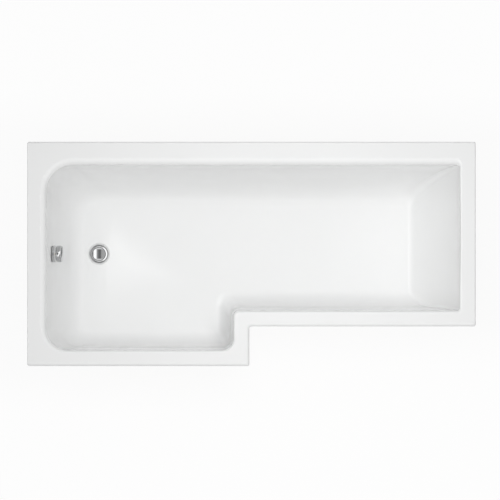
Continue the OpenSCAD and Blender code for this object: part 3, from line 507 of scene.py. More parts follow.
def piece_from(name, bm, smooth_below=SMOOTH_BELOW):
    """Makes an object from a bmesh."""
    mesh = bpy.data.meshes.new(name)
    bm.to_mesh(mesh)
    bm.free()
    smooth(mesh, smooth_below)
    piece = bpy.data.objects.new(name, mesh)
    bpy.context.scene.collection.objects.link(piece)
    return piece


def outward_piece(name, bm):
    """Makes an object from a bmesh, with all its faces turned outwards."""
    bmesh.ops.recalc_face_normals(bm, faces=bm.faces)
    return piece_from(name, bm)


def stand_for(piece, material, node):
    """Shows the piece in the place of a node, which it follows and is repainted with."""
    piece.data.materials.clear()
    piece.data.materials.append(material)
    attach(piece, BODY_OF[node])
    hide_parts(node)
    return piece


def skin(bm, rings, closed=False):
    """Faces between rings, each of equally many points or of one; closed joins the last to the first."""
    rows = [[bm.verts.new(point) for point in ring] for ring in rings]
    pairs = list(zip(rows, rows[1:]))
    if closed:
        pairs.append((rows[-1], rows[0]))
    for low, high in pairs:
        count = max(len(low), len(high))
        for k in range(count):
            n = (k + 1) % count
            corners = [low[k % len(low)], low[n % len(low)], high[n % len(high)], high[k % len(high)]]
            bm.faces.new(dict.fromkeys(corners))
    return rows


def capped(bm, rings):
    """Faces between rings, and over the first and the last."""
    rows = skin(bm, rings)
    bm.faces.new(reversed(rows[0]))
    bm.faces.new(rows[-1])


def fill_between(bm, ring, hole):
    """Flat faces between a ring and a hole in it."""
    edges = []
    for loop in (ring, hole):
        for k, vert in enumerate(loop):
            edges.append(bm.edges.get((loop[k - 1], vert)) or bm.edges.new((loop[k - 1], vert)))
    bmesh.ops.triangle_fill(bm, use_beauty=True, use_dissolve=False, edges=edges)


def eased(corners, steps=4, closed=False):
    """Rounds the corners (r, w, ease) of an outline and returns its points (r, w)."""
    points = []
    for k, (r, w, ease) in enumerate(corners):
        here = Vector((r, w))
        if ease == 0 or (not closed and k in (0, len(corners) - 1)):
            points.append(here)
            continue
        before = Vector(corners[k - 1][:2]) - here
        after = Vector(corners[(k + 1) % len(corners)][:2]) - here
        start = here + before.normalized() * min(ease, before.length * 0.48)
        end = here + after.normalized() * min(ease, after.length * 0.48)
        for step in range(steps + 1):
            t = step / steps
            points.append((1 - t) ** 2 * start + 2 * t * (1 - t) * here + t * t * end)
    return points


def even_angles(segments):
    """Angles at even steps all the way round."""
    return [2 * math.pi * k / segments for k in range(segments)]


def around(place, angle, r, w):
    """A point at an angle round the local Z axis of a place."""
    return place @ Vector((r * math.cos(angle), r * math.sin(angle), w))


def rings_of(place, segments, section):
    """Rings round the local Z axis of a place; section(angle) lists the points (r, w) met at an angle."""
    columns = [[around(place, angle, r, w) for r, w in section(angle)] for angle in even_angles(segments)]
    return list(zip(*columns))


def turned(bm, points, place, closed=False, segments=96):
    """Turns an outline of (r, w) about the local Z axis of a place."""
    rings = []
    for r, w in points:
        angles = even_angles(segments) if r > 0 else [0]
        rings.append([around(place, angle, r, w) for angle in angles])
    skin(bm, rings, closed)


def turned_piece(name, corners, place, segments=96):
    """Makes an object from an outline of corners (r, w, ease) turned about the axis of a place."""
    bm = bmesh.new()
    turned(bm, eased(corners), place, segments=segments)
    return outward_piece(name, bm)


def joined(node):
    """A bmesh of a node's own mesh, with its split edges joined."""
    bm = bmesh.new()
    bm.from_mesh(frame["nodes"][node].data)
    bmesh.ops.remove_doubles(bm, verts=bm.verts, dist=JOIN_BELOW)
    return bm


def welded(node):
    """A bmesh of a node's own mesh, with its flat faces whole."""
    bm = joined(node)
    bmesh.ops.dissolve_limit(bm, angle_limit=math.radians(FLAT_BELOW), verts=bm.verts, edges=bm.edges)
    return bm


def islands(node):
    """Boxes (low, high) of the separate solids in a node."""
    bm = joined(node)
    boxes = []
    seen = set()
    for seed in bm.verts:
        if seed in seen:
            continue
        group, stack = [], [seed]
        seen.add(seed)
        while stack:
            vert = stack.pop()
            group.append(vert.co.copy())
            for edge in vert.link_edges:
                other = edge.other_vert(vert)
                if other not in seen:
                    seen.add(other)
                    stack.append(other)
        low = Vector(min(co[axis] for co in group) for axis in range(3))
        high = Vector(max(co[axis] for co in group) for axis in range(3))
        boxes.append((low, high))
    bm.free()
    return boxes


def refine(node, material, width, segments=2):
    """Shows the node's own shape, with rounded edges."""
    piece = piece_from(f"{node}_shape", welded(node))
    bevel = piece.modifiers.new("edges", "BEVEL")
    bevel.width = width
    bevel.segments = segments
    bevel.limit_method = "ANGLE"
    bevel.angle_limit = math.radians(ROUND_ABOVE)
    bevel.harden_normals = True
    return stand_for(piece, material, node)


def drilled(piece, drill):
    """Cuts a drill out of a piece and removes it."""
    boolean = piece.modifiers.new("drilled", "BOOLEAN")
    boolean.operation = "DIFFERENCE"
    boolean.solver = "EXACT"
    boolean.object = drill
    evaluated = piece.evaluated_get(bpy.context.evaluated_depsgraph_get())
    mesh = bpy.data.meshes.new_from_object(evaluated)
    piece.modifiers.clear()
    piece.data = mesh
    smooth(mesh)
    bpy.data.objects.remove(drill)
    return piece


# ---------------------------------------------------------------- the form of the tub


class Wall(NamedTuple):
    """A wall of the basin: flat rim, radius into the wall, lean in degrees, and the sweep into the floor.

    The sweep has a plan width, a tightness, and a share of the wall's height.
    """

    rim: float
    roll: float
    lean: float
    sweep: float
    curve: float
    share: float


# Anticlockwise from the shower front: front, step, narrow front, head, back, waste end
WALLS = (
    Wall(rim=0.050, roll=0.010, lean=2.5, sweep=0.066, curve=2.2, share=0.3),
    Wall(rim=0.050, roll=0.010, lean=2.5, sweep=0.052, curve=2.2, share=0.3),
    Wall(rim=0.050, roll=0.010, lean=2.5, sweep=0.066, curve=2.2, share=0.3),
    Wall(rim=0.050, roll=0.010, lean=8, sweep=0.142, curve=1.6, share=1.0),
    Wall(rim=0.058, roll=0.030, lean=5, sweep=0.123, curve=2.4, share=1.0),
    Wall(rim=0.046, roll=0.026, lean=8, sweep=0.107, curve=3.0, share=1.0),
)
HEAD = 3
# Plan radii at the rim and at the floor, the first between the waste end and the shower front
CORNERS = ((0.085, 0.070), (0.045, 0.018), (0.020, 0.050), (0.011, 0.016), (0.011, 0.030), (0.100, 0.110))
STEP_CORNER = 2
LEAST_CORNER = 0.004
LEAST_ROLL = 0.001
# Facets across the backrest, round the outer edge, down the recess and round the waste
BACKREST_POINTS = 14
EDGE_STEPS = 10
RECESS_STEPS = 8
WASTE_SEGMENTS = 96
# Powers that crowd the rings towards the foot of the walls and the top of the outer edge
WALL_SPACING = 2.2
EDGE_SPACING = 1.5
# Powers that set how the corners grow on the way down, and where the scoop is deepest
CORNER_GROWTH = 1.5
SCOOP_GROWTH = 0.6
# Width of the narrow ring of faces beside a bend
LAND = 0.0015
# The recess for the waste flange: its foot, how far its lip spreads, its depth, the hole and its eased edge
RECESS_R = 0.0375
RECESS_LIP = 0.004
SEAT_DROP = 0.004
WASTE_HOLE_R = 0.026
HOLE_EASE = 0.001
# The pad under the recess, and the play of the laminate round it
PAD_R = 0.0415
PAD_PLAY = 0.0005
OVERFLOW_HOLE_R = 0.026
DRILL_REACH = 0.05
# Unevenness of the laminate: height of its waves, waves per metre, and how far they keep off the board
LAY_UP_H = 0.0006
LAY_UP_SCALE = 28
BOARD_CLEAR = 0.004


class TubForm:
    """The surfaces of the basin and the rim, each as rings that run anticlockwise seen from above."""

    def __init__(self, sizes):
        self.sizes = sizes
        self.top = max(wall.roll for wall in WALLS)
        self.inner_y = HIGH.y - sizes.narrow_width
        self.step_x = LOW.x + sizes.shower_length
        self.waste_x = WASTE.translation.x
        self.foot_x = HIGH.x - self.gap(WALLS[HEAD], sizes.depth, 0)
        self.edge_radii = [sizes.open_edge] * 3 + [sizes.wall_edge] * 3
        steps = sizes.wall_steps
        rolls = [self.top * (k / steps * 2) ** 2 for k in range(steps // 2)]
        self.wall_drops = [
            sizes.depth - (sizes.depth - self.top) * (1 - k / steps) ** WALL_SPACING
            for k in range(steps + 1)]
        self.basin_drops = rolls + self.wall_drops

    def gap(self, wall, drop, layer):
        """Plan distance of a wall's surface from the outer edge, some way below the top of a layer."""
        roll = max(wall.roll - layer, LEAST_ROLL)
        if drop < roll:
            return wall.rim + math.sqrt(roll ** 2 - (roll - drop) ** 2)
        part = min(max(1 - (self.sizes.depth - drop) / (self.sizes.depth - roll) / wall.share, 0), 1)
        sweep = wall.sweep * (1 - (1 - part ** wall.curve) ** (1 / wall.curve))
        return wall.rim + roll + math.tan(math.radians(wall.lean)) * (drop - roll) + sweep

    def fall(self, x):
        """How much of the depth there is at a place along the bath."""
        share = (x - self.waste_x) / (self.foot_x - self.waste_x)
        return 1 - self.sizes.floor_fall * share / self.sizes.depth

    def corner_radius(self, index, drop, layer):
        """Plan radius of a corner of the basin, which grows as its walls lean in."""
        to_wall = 0
        for wall in (WALLS[index - 1], WALLS[index]):
            face = wall.rim + max(wall.roll - layer, LEAST_ROLL)
            to_wall += max(face - self.gap(wall, drop, layer), 0) / 2
        edge, foot = CORNERS[index]
        base = edge + (foot - edge) * (drop / self.sizes.depth) ** CORNER_GROWTH
        grown = base - layer - to_wall if index == STEP_CORNER else base + layer + to_wall
        return max(grown, LEAST_CORNER)

    def outline(self, gaps, radii, scoop):
        """The plan of the bath, some way in from each outer edge; scoop bows the head end out."""
        left, right = LOW.x + gaps[5], HIGH.x - gaps[3]
        step = self.step_x - gaps[1]
        shower, front, back = LOW.y + gaps[0], self.inner_y + gaps[2], HIGH.y - gaps[4]
        points = []

        def arc(x, y, radius, start, turn):
            for k in range(self.sizes.corner_steps + 1):
                angle = math.radians(start + turn * k / self.sizes.corner_steps)
                points.append((x + radius * math.cos(angle), y + radius * math.sin(angle)))

        arc(left + radii[0], shower + radii[0], radii[0], 180, 90)
        arc(step - radii[1], shower + radii[1], radii[1], 270, 90)
        arc(step + radii[2], front - radii[2], radii[2], 180, -90)
        arc(right - radii[3], front + radii[3], radii[3], 270, 90)
        low, high = front + radii[3], back - radii[4]
        for k in range(1, BACKREST_POINTS + 1):
            share = k / (BACKREST_POINTS + 1)
            points.append((right + scoop * math.sin(math.pi * share) ** 2, low + share * (high - low)))
        arc(right - radii[4], back - radii[4], radii[4], 0, 90)
        arc(left + radii[5], back - radii[5], radii[5], 90, 90)
        return points

    def basin_ring(self, drop, layer, inset=0.0, level=False):
        """A ring of the basin; a level ring leaves out the fall of the floor."""
        gaps = [self.gap(wall, drop, layer) + inset for wall in WALLS]
        insets = [inset if k == STEP_CORNER else -inset for k in range(len(CORNERS))]
        radii = [self.corner_radius(k, drop, layer) + more for k, more in enumerate(insets)]
        scoop = self.sizes.scoop * math.sin(math.pi * (drop / self.sizes.depth) ** SCOOP_GROWTH)
        top = HIGH.z - layer
        points = self.outline(gaps, radii, scoop)
        return [(x, y, top - drop * (1 if level else self.fall(x))) for x, y in points]

    def rim_ring(self, drop, layer, inset=0.0):
        """A ring of the rim's rounded outer edge."""
        gaps = []
        for radius in self.edge_radii:
            roll = radius - layer
            rounded = layer + roll - math.sqrt(roll ** 2 - (roll - drop) ** 2) if roll > drop else layer
            gaps.append(rounded + inset)
        corner = self.sizes.outer_corner
        radii = [corner + (gaps[k] if k == STEP_CORNER else -inset) for k in range(len(CORNERS))]
        return [(x, y, HIGH.z - layer - drop) for x, y in self.outline(gaps, radii, 0)]

    def edge_drops(self, layer):
        """Drops of the rings round the outer edge."""
        radius = self.sizes.open_edge - layer
        return [radius * (k / EDGE_STEPS) ** EDGE_SPACING for k in range(EDGE_STEPS + 1)]

    def skirt_ring(self, gap):
        """A ring along the foot of the turned-down edge."""
        radii = [self.sizes.outer_corner] * len(CORNERS)
        points = self.outline([gap] * len(WALLS), radii, 0)
        return [(x, y, HIGH.z - self.sizes.skirt) for x, y in points]

    def floor_height(self, x, layer=0.0):
        """Height of the floor at a place along the bath, or of what lies a layer below it."""
        return HIGH.z - layer - self.sizes.depth * self.fall(x)


def circle(radius, height):
    """Points round the waste; height is a function of x."""
    ring = [around(WASTE, angle, radius, 0) for angle in even_angles(WASTE_SEGMENTS)]
    return [(x, y, height(x)) for x, y, _ in ring]


def tub_piece(sizes):
    """The acrylic sheet: floor, walls, rim, skirt and underside, with its recess and holes."""
    form = TubForm(sizes)
    sheet, depth = sizes.sheet, sizes.depth
    bm = bmesh.new()
    rings = [form.basin_ring(depth, 0, LAND)]
    rings += [form.basin_ring(drop, 0) for drop in reversed(form.basin_drops)]
    rings.append(form.basin_ring(0, 0, -LAND))
    rings.append(form.rim_ring(0, 0, LAND))
    rings += [form.rim_ring(drop, 0) for drop in form.edge_drops(0)]
    rings += [form.skirt_ring(0), form.skirt_ring(sheet)]
    rings += [form.rim_ring(drop, sheet) for drop in reversed(form.edge_drops(sheet))]
    rings += [form.basin_ring(drop, sheet) for drop in form.basin_drops]
    rings.append(form.basin_ring(depth, sheet, LAND))
    rows = skin(bm, rings)

    seat = HIGH.z - depth - SEAT_DROP
    pad_low = HIGH.z - depth - sheet - sizes.bond - sizes.laminate
    recess = []
    for k in range(RECESS_STEPS + 1):
        t = k / RECESS_STEPS
        blend = t * t * (3 - 2 * t)
        radius = RECESS_R + RECESS_LIP * (1 - t)
        recess.append(circle(radius, lambda x, b=blend: (1 - b) * form.floor_height(x) + b * seat))
    recess.append(circle(WASTE_HOLE_R + HOLE_EASE, lambda x: seat))
    recess.append(circle(WASTE_HOLE_R, lambda x: seat - HOLE_EASE))
    recess.append(circle(WASTE_HOLE_R, lambda x: pad_low))
    recess.append(circle(PAD_R, lambda x: pad_low))
    recess.append(circle(PAD_R, lambda x: form.floor_height(x, sheet)))
    well = skin(bm, recess)
    fill_between(bm, rows[0], well[0])
    fill_between(bm, rows[-1], well[-1])
    return drilled(outward_piece("acrylic_shell", bm), overflow_drill())


def overflow_drill():
    """What drills the overflow hole through the wall at the waste end."""
    radius, reach = OVERFLOW_HOLE_R, DRILL_REACH
    outline = [(0, -reach, 0), (radius, -reach, 0), (radius, reach, 0), (0, reach, 0)]
    return turned_piece("drill", outline, OVERFLOW)


def laminate_piece(sizes):
    """Glass fibre laminate on the back of the acrylic, laid up by hand and so a little uneven."""
    form = TubForm(sizes)
    inner = sizes.sheet + sizes.bond
    outer = inner + sizes.laminate
    bm = bmesh.new()
    rings = [form.basin_ring(sizes.depth, inner, LAND)]
    rings += [form.basin_ring(drop, inner) for drop in reversed(form.wall_drops)]
    rings += [form.basin_ring(drop, outer, level=True) for drop in form.wall_drops]
    rings.append(form.basin_ring(sizes.depth, outer, LAND, level=True))
    rows = skin(bm, rings)
    radius = PAD_R + PAD_PLAY
    board_top = HIGH.z - outer - sizes.depth
    well = skin(bm, [
        circle(radius, lambda x: form.floor_height(x, inner)),
        circle(radius, lambda x: board_top)])
    fill_between(bm, rows[0], well[0])
    fill_between(bm, rows[-1], well[-1])
    bmesh.ops.recalc_face_normals(bm, faces=bm.faces)
    bm.normal_update()
    # The edge under the rim and what lies on the baseboard stay as they are
    for row in rows[len(form.wall_drops) + 2:-3]:
        for vert in row:
            if vert.co.z > board_top + BOARD_CLEAR:
                vert.co += vert.normal * LAY_UP_H * noise.noise(vert.co * LAY_UP_SCALE)
    return drilled(piece_from("laminate_shell", bm), overflow_drill())


# ---------------------------------------------------------------- hardware

# The waste flange: its neck and bore, the groove under the plug's edge, and the start of its flat top
NECK_R = 0.0245
NECK_BORE_R = 0.021
GROOVE_R = 0.0252
FLAT_R = 0.0312
# How far its rounded edge reaches in, and its bevel out from the bore
CROWN_W = 0.0022
BEVEL_W = 0.0034
# Levels below its top: the side of the rounded edge, the foot of the slope, the groove, the back, the bevel
CROWN_DROP = 0.0010
SLOPE_DROP = 0.0012
GROOVE_DROP = 0.0022
FLANGE_T = 0.0026
BEVEL_DROP = 0.0056
# The plug: rise of its dome, its plate, the boss and stem below, and the hole for the lifting pin
DOME_H = 0.003
PLATE_T = 0.0045
BOSS_R = 0.019
BOSS_H = 0.0035
STEM_R = 0.008
PIN_HOLE_R = 0.0042
PIN_HOLE_H = 0.010
DOME_STEPS = 24
# The overflow's ring: bore, neck, where its back lies along the axis, its thickness and its rounded edge
ROSE_BORE_R = 0.0215
ROSE_NECK_R = 0.024
ROSE_BACK = 0.0021
ROSE_T = 0.011
ROSE_EDGE = 0.0016
ROSE_EDGE_W = 0.0020
# How far spokes run into the bore that holds them
SPOKE_SUNK = 0.001
PIPE_BORE_R = 0.0161
ROD_PLAY = 0.00005


def threaded_rod(bm, place, radius, length, pitch, depth, segments=20, rows_per_turn=4):
    """A rod with a thread all along it and chamfered ends."""
    chamfer = pitch * 0.8
    count = int(length / pitch * rows_per_turn)
    heights = [length * row / count for row in range(count + 1)]

    def section(angle):
        points = []
        for z in heights:
            phase = (z / pitch - angle / (2 * math.pi)) % 1
            crest = radius - depth * abs(2 * phase - 1)
            points.append((min(crest, radius - chamfer + min(z, length - z)), z))
        return points

    capped(bm, rings_of(place, segments, section))


def hex_nut(bm, place, flats, hole_r, height, segments=48):
    """A chamfered nut with countersunk ends."""
    cone_r = flats / 2 * 0.99
    slope = math.tan(math.radians(30))
    sink = 0.0008

    def section(angle):
        corner = flats / 2 / math.cos((angle % (math.pi / 3)) - math.pi / 6)
        drop = (corner - cone_r) * slope
        return [(cone_r, 0), (corner, drop), (corner, height - drop), (cone_r, height),
                (hole_r + sink, height), (hole_r, height - sink), (hole_r, sink), (hole_r + sink, 0)]

    skin(bm, rings_of(place, segments, section), closed=True)


def wood_screw(bm, place, length, head_r, head_h, shank_r, segments=48):
    """A screw that points up, with a cross recess in its rounded head."""
    arm_l, arm_w, arm_deep = head_r * 0.52, head_r * 0.14, head_h * 0.6
    shares = (0.08, 0.16, 0.24, 0.32, 0.42, 0.50, 0.55, 0.66, 0.78, 0.9, 0.97, 1.0)

    def section(angle):
        points = []
        for share in shares:
            radius = head_r * share
            aside = radius * min(abs(math.cos(angle)), abs(math.sin(angle)))
            dome = head_h * 0.75 * share ** 2.6
            in_arm = aside < arm_w and radius < arm_l
            points.append((radius, max(dome, arm_deep if in_arm else 0)))
        tip_r = shank_r * 0.15
        return points + [(head_r, head_h), (shank_r, head_h), (shank_r, length - shank_r), (tip_r, length)]

    capped(bm, rings_of(place, segments, section))


def foot_piece(name, place, disc_r, disc_h, socket_r, socket_h, bore_r, ribs=8):
    """A foot disc with a ribbed socket for the rod."""
    ease, fine_ease, fillet = 0.0012, 0.0006, 0.0025
    slope_r = disc_r - disc_h / 3
    outline = [
        (bore_r, disc_h, 0), (bore_r, socket_h, fine_ease), (socket_r, socket_h, ease),
        (socket_r, disc_h, fillet), (slope_r, disc_h, ease), (disc_r, disc_h / 2, ease),
        (disc_r, 0, fine_ease), (0, 0, 0)]
    bm = bmesh.new()
    turned(bm, [(0, disc_h)] + eased(outline, steps=3), place, segments=72)

    rib_t, sunk, end_gap, top_gap = 0.0024, 0.001, 0.002, 0.004
    low, high = disc_h - sunk, socket_h - top_gap
    inner, outer = socket_r - sunk, slope_r - end_gap
    profile = [(inner, low), (outer, low), (outer - sunk, low + fillet), (inner, high)]
    for k in range(ribs):
        turn = place @ Matrix.Rotation(2 * math.pi * (k + 0.5) / ribs, 4, "Z")
        capped(bm, [[turn @ Vector((r, y, z)) for r, z in profile] for y in (-rib_t / 2, rib_t / 2)])
    return outward_piece(name, bm)


def sole_piece(name, place, radius, thickness):
    """A rubber sole with two rings of grooves under it."""
    ease = thickness / 4
    outline = [(0, 0, 0), (radius * 0.3, 0, 0), (radius * 0.34, ease, ease), (radius * 0.40, 0, 0),
               (radius * 0.66, 0, 0), (radius * 0.70, ease, ease), (radius * 0.76, 0, 0),
               (radius - ease, 0, ease), (radius, ease, ease), (radius, thickness, ease), (0, thickness, 0)]
    return turned_piece(name, outline, place, segments=72)


def ribbed_nut(bm, place, outer_r, inner_r, length, ribs=20):
    """A hand nut with grips round it."""
    ease, grip, bore_wall = 0.001, 0.035, 0.002
    corners = [(inner_r, 0, 0), (outer_r * 0.9, 0, ease), (outer_r, length * 0.18, ease),
               (outer_r, length * 0.88, ease), (outer_r * 0.96, length, ease), (inner_r, length, 0)]
    body = eased(corners, steps=3)

    def section(angle):
        reach = 1 - grip * (0.5 + 0.5 * math.cos(ribs * angle)) ** 3
        return [(r * reach if r > inner_r + bore_wall else r, w) for r, w in body]

    skin(bm, rings_of(place, ribs * 10, section), closed=True)


def spokes(bm, place, hub_r, bore_r, reach, width, low, height):
    """A hub on three spokes that carries a pin or a spindle."""
    ease = 0.0006
    high = low + height
    hub = [(bore_r, low, ease), (hub_r, low, ease), (hub_r, high, ease), (bore_r, high, ease)]
    turned(bm, eased(hub, steps=3, closed=True), place, closed=True, segments=48)
    half = width / 2
    corners = [(-half, low, ease), (half, low, ease), (half, high, ease), (-half, high, ease)]
    section = eased(corners, steps=3, closed=True)
    for degrees in (60, 180, 300):
        turn = place @ Matrix.Rotation(math.radians(degrees), 4, "Z")
        capped(bm, [[turn @ Vector((x, y, z)) for y, z in section] for x in ((hub_r + bore_r) / 2, reach)])


def waste_flange():
    """The chrome ring round the plug: a slope inside, a flat land and a rounded edge, on its neck."""
    low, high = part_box("waste_flange")
    outer_r, top, bottom = (high.x - low.x) / 2, high.z, low.z
    back = top - FLANGE_T
    groove = top - GROOVE_DROP
    ease = 0.0004
    outline = [
        (NECK_BORE_R, bottom, ease), (NECK_R, bottom, ease), (NECK_R, back, 0), (outer_r, back, ease),
        (outer_r, top - CROWN_DROP, 0.0012), (outer_r - CROWN_W, top, CROWN_W), (FLAT_R, top, 0.0010),
        (GROOVE_R, top - SLOPE_DROP, 0.0002), (GROOVE_R, groove, 0),
        (NECK_BORE_R + BEVEL_W, groove, ease), (NECK_BORE_R, top - BEVEL_DROP, 0.0010)]
    bm = bmesh.new()
    turned(bm, eased(outline, steps=6, closed=True), WASTE, closed=True, segments=160)
    spokes(bm, WASTE, hub_r=0.0075, bore_r=0.00405, reach=NECK_BORE_R + SPOKE_SUNK, width=0.003,
           low=bottom, height=0.005)
    return outward_piece("waste_flange_turned", bm)


def plug_piece():
    """The domed plug with its boss and stem."""
    low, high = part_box("plug")
    radius, top, bottom = (high.x - low.x) / 2, high.z, low.z
    side = top - DOME_H
    under = side - PLATE_T
    boss = under - BOSS_H
    ball_r = (radius ** 2 + DOME_H ** 2) / (2 * DOME_H)
    outline = [
        (0, bottom + PIN_HOLE_H, 0), (PIN_HOLE_R, bottom + PIN_HOLE_H, 0), (PIN_HOLE_R, bottom, 0.0003),
        (STEM_R, bottom, 0.0006), (STEM_R, boss, 0.0008), (BOSS_R, boss, 0.0004), (BOSS_R, under, 0),
        (radius, under, 0.0005)]
    points = eased(outline)[:-1]
    points += [(radius, under + 0.0004), (radius, side - 0.0004)]
    for k in range(DOME_STEPS + 1):
        r = (radius - 0.0002) * (1 - k / DOME_STEPS)
        points.append((r, top - ball_r + math.sqrt(ball_r ** 2 - r ** 2)))
    bm = bmesh.new()
    turned(bm, points, WASTE, segments=160)
    return outward_piece("plug_domed", bm)


def overflow_rose():
    """The chrome ring on the wall, with its neck and the bearing of the spindle."""
    low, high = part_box("overflow_flange")
    radius = (high.y - low.y) / 2
    neck_end = (low.x - KNOB_PLACE.x + ROSE_NECK_R * math.sin(OVERFLOW_LEAN)) / math.cos(OVERFLOW_LEAN)
    front = ROSE_BACK + ROSE_T
    ease = 0.0005
    outline = [
        (ROSE_BORE_R, neck_end, ease), (ROSE_NECK_R, neck_end, ease), (ROSE_NECK_R, ROSE_BACK, 0),
        (radius, ROSE_BACK, ease), (radius, front - ROSE_EDGE, ROSE_EDGE),
        (radius - ROSE_EDGE_W, front, ROSE_EDGE), (ROSE_BORE_R, front, 0.0010)]
    bm = bmesh.new()
    turned(bm, eased(outline, steps=6, closed=True), OVERFLOW, closed=True, segments=160)
    spokes(bm, OVERFLOW, hub_r=0.009, bore_r=0.00505, reach=ROSE_BORE_R + SPOKE_SUNK, width=0.004,
           low=ROSE_BACK + 0.002, height=0.005)
    return outward_piece("overflow_rose", bm)


# ---------------------------------------------------------------- studio

WHITE = (1, 1, 1, 1)
# Share of the floor that is plain white where it is seen; the rest takes the shadow
FLOOR_WHITE = 0.93
FLOOR_SIZE = 12
LAMP_SIZE = 0.8
LAMP_PLACE = (0.2, 0, 3)
CAMERA_HEIGHT = 4.0
# What polished surfaces see by how far it lies along X, as (place, level)
ROOM_ALONG = (
    (-1.0, 0.36), (-0.90, 0.50), (-0.80, 1.0), (-0.25, 1.0), (-0.12, 0.20), (0.06, 0.10), (0.12, 0.13),
    (0.20, 0.33), (1.0, 0.40))
# The same by how far it lies out along Y, and where it takes over
ROOM_ASIDE = ((0.50, 0.62), (0.58, 0.34))
ASIDE_FROM = 0.33
ASIDE_FULL = 0.41


def build_floor(studio):
    """A pale floor that is white to the camera and in reflections, but keeps the bath's shadow."""
    bm = bmesh.new()
    bmesh.ops.create_grid(bm, x_segments=1, y_segments=1, size=FLOOR_SIZE)
    floor = piece_from("studio_floor", bm)
    finish = Finish("studio_floor", studio.floor, roughness=0.9)
    finish.mottle(1.5, 3.0, shade(studio.floor, 0.985), studio.floor)
    path = finish.node("ShaderNodeLightPath")
    seen = finish.math("MAXIMUM", path.outputs["Is Camera Ray"], path.outputs["Is Glossy Ray"])
    share = finish.math("MULTIPLY", seen, FLOOR_WHITE)
    white = finish.node("ShaderNodeEmission", {"Color": WHITE, "Strength": 1.0}).outputs[0]
    mix = finish.node("ShaderNodeMixShader", {0: share, 1: finish.surface.outputs[0], 2: white})
    finish.tree.links.new(mix.outputs[0], finish.tree.nodes["Material Output"].inputs["Surface"])
    floor.data.materials.append(finish.material)


def build_sky(studio):
    """Soft light for dull surfaces, a room with a bright side for polished ones, and white behind."""
    world = bpy.data.worlds.new("studio")
    world.use_nodes = True
    bpy.context.scene.world = world
    world.node_tree.nodes.clear()
    sky = Nodes(world.node_tree)
    direction = sky.node("ShaderNodeTexCoord").outputs["Generated"]

    # Soft panels: where they stand, their elevation in degrees, their tightness and their light
    panels = (
        (0, 0, 90, 8.0, studio.overhead), (-1, 0, 60, 6.0, studio.waste_side),
        (0, 1, 60, 6.0, studio.wall_side), (0, -1, 60, 6.0, studio.front_side),
        (0, -1, 20, 12.0, studio.low_front))
    light = 0.0
    for x, y, elevation, tightness, strength in panels:
        rise = math.radians(elevation)
        towards = (x * math.cos(rise), y * math.cos(rise), math.sin(rise))
        facing = sky.node("ShaderNodeVectorMath", {0: direction, 1: towards}, operation="DOT_PRODUCT")
        lobe = sky.math("POWER", sky.math("MAXIMUM", facing.outputs["Value"], 0.0), tightness)
        light = sky.math("ADD", light, sky.math("MULTIPLY", lobe, strength))
    even = sky.node("ShaderNodeBackground", {"Color": WHITE, "Strength": light})

    seen_at = sky.node("ShaderNodeSeparateXYZ", {0: direction})
    across = sky.math("ABSOLUTE", seen_at.outputs["Y"])
    place = sky.scaled(seen_at.outputs["X"], 0, 1, start=-1, end=1)
    along = sky.greys(place, [((x + 1) / 2, level) for x, level in ROOM_ALONG])
    aside = sky.greys(across, ROOM_ASIDE)
    seen = sky.mixed(sky.scaled(across, 0, 1, start=ASIDE_FROM, end=ASIDE_FULL), along, aside)
    reflection = sky.node("ShaderNodeBackground", {"Color": seen, "Strength": studio.reflected})
    backdrop = sky.node("ShaderNodeBackground", {"Color": WHITE, "Strength": 1.0})
    path = sky.node("ShaderNodeLightPath")
    lit = sky.node("ShaderNodeMixShader", {
        0: path.outputs["Is Glossy Ray"], 1: even.outputs[0], 2: reflection.outputs[0]})
    shown = sky.node("ShaderNodeMixShader", {
        0: path.outputs["Is Camera Ray"], 1: lit.outputs[0], 2: backdrop.outputs[0]})
    sky.node("ShaderNodeOutputWorld", {"Surface": shown.outputs[0]})


def build_lamp(studio):
    """A soft lamp overhead, which polished surfaces don't show."""
    lamp = bpy.data.lights.new("lamp", "AREA")
    lamp.size = LAMP_SIZE
    lamp.energy = studio.lamp
    overhead = bpy.data.objects.new("lamp", lamp)
    overhead.location = LAMP_PLACE
    overhead.visible_glossy = False
    bpy.context.scene.collection.objects.link(overhead)


def build_camera(studio):
    """A camera that looks straight down."""
    camera = bpy.data.cameras.new("camera")
    camera.type = "ORTHO"
    camera.ortho_scale = studio.picture_width
    eye = bpy.data.objects.new("camera", camera)
    eye.location = (studio.centre_x, studio.centre_y, CAMERA_HEIGHT)
    bpy.context.scene.collection.objects.link(eye)
    bpy.context.scene.camera = eye


# ---------------------------------------------------------------- operators

# Rounding of the edges of the CAD's own shapes
BOARD_EDGE = 0.0007
BATTEN_EDGE = 0.0012
CRADLE_EDGE = 0.0012
BRACKET_EDGE = 0.0008
KNOB_EDGE = 0.0007
PIN_EDGE = 0.0006
LEVER_EDGE = 0.0004
SEAL_EDGE = 0.0003
GRUB_EDGE = 0.0002


class BATH_OT_tub(bpy.types.Operator):
    """Build the acrylic tub and its glass fibre backing"""

    bl_idname = "bath.tub"
    bl_label = "Tub and backing"

    def execute(self, context):
        sizes = context.scene.bath_tub
        stand_for(tub_piece(sizes), acrylic_finish(sizes.acrylic), "acrylic_tub")
        stand_for(laminate_piece(sizes), glassfibre_finish(sizes.resin), "glassfibre_backing")
        return {"FINISHED"}


class BATH_OT_timber(bpy.types.Operator):
    """Dress the baseboard and the battens"""

    bl_idname = "bath.timber"
    bl_label = "Baseboard and battens"

    def execute(self, context):
        looks = context.scene.bath_support
        refine("baseboard", chipboard_finish(looks.board), BOARD_EDGE)
        along = timber_finish("timber_along", looks.timber, "X")
        across = timber_finish("timber_across", looks.timber, "Y")
        for node in sorted(frame["nodes"]):
            if node.startswith("batten_"):
                low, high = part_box(node)
                material = along if high.x - low.x > high.y - low.y else across
                refine(node, material, BATTEN_EDGE)
        return {"FINISHED"}


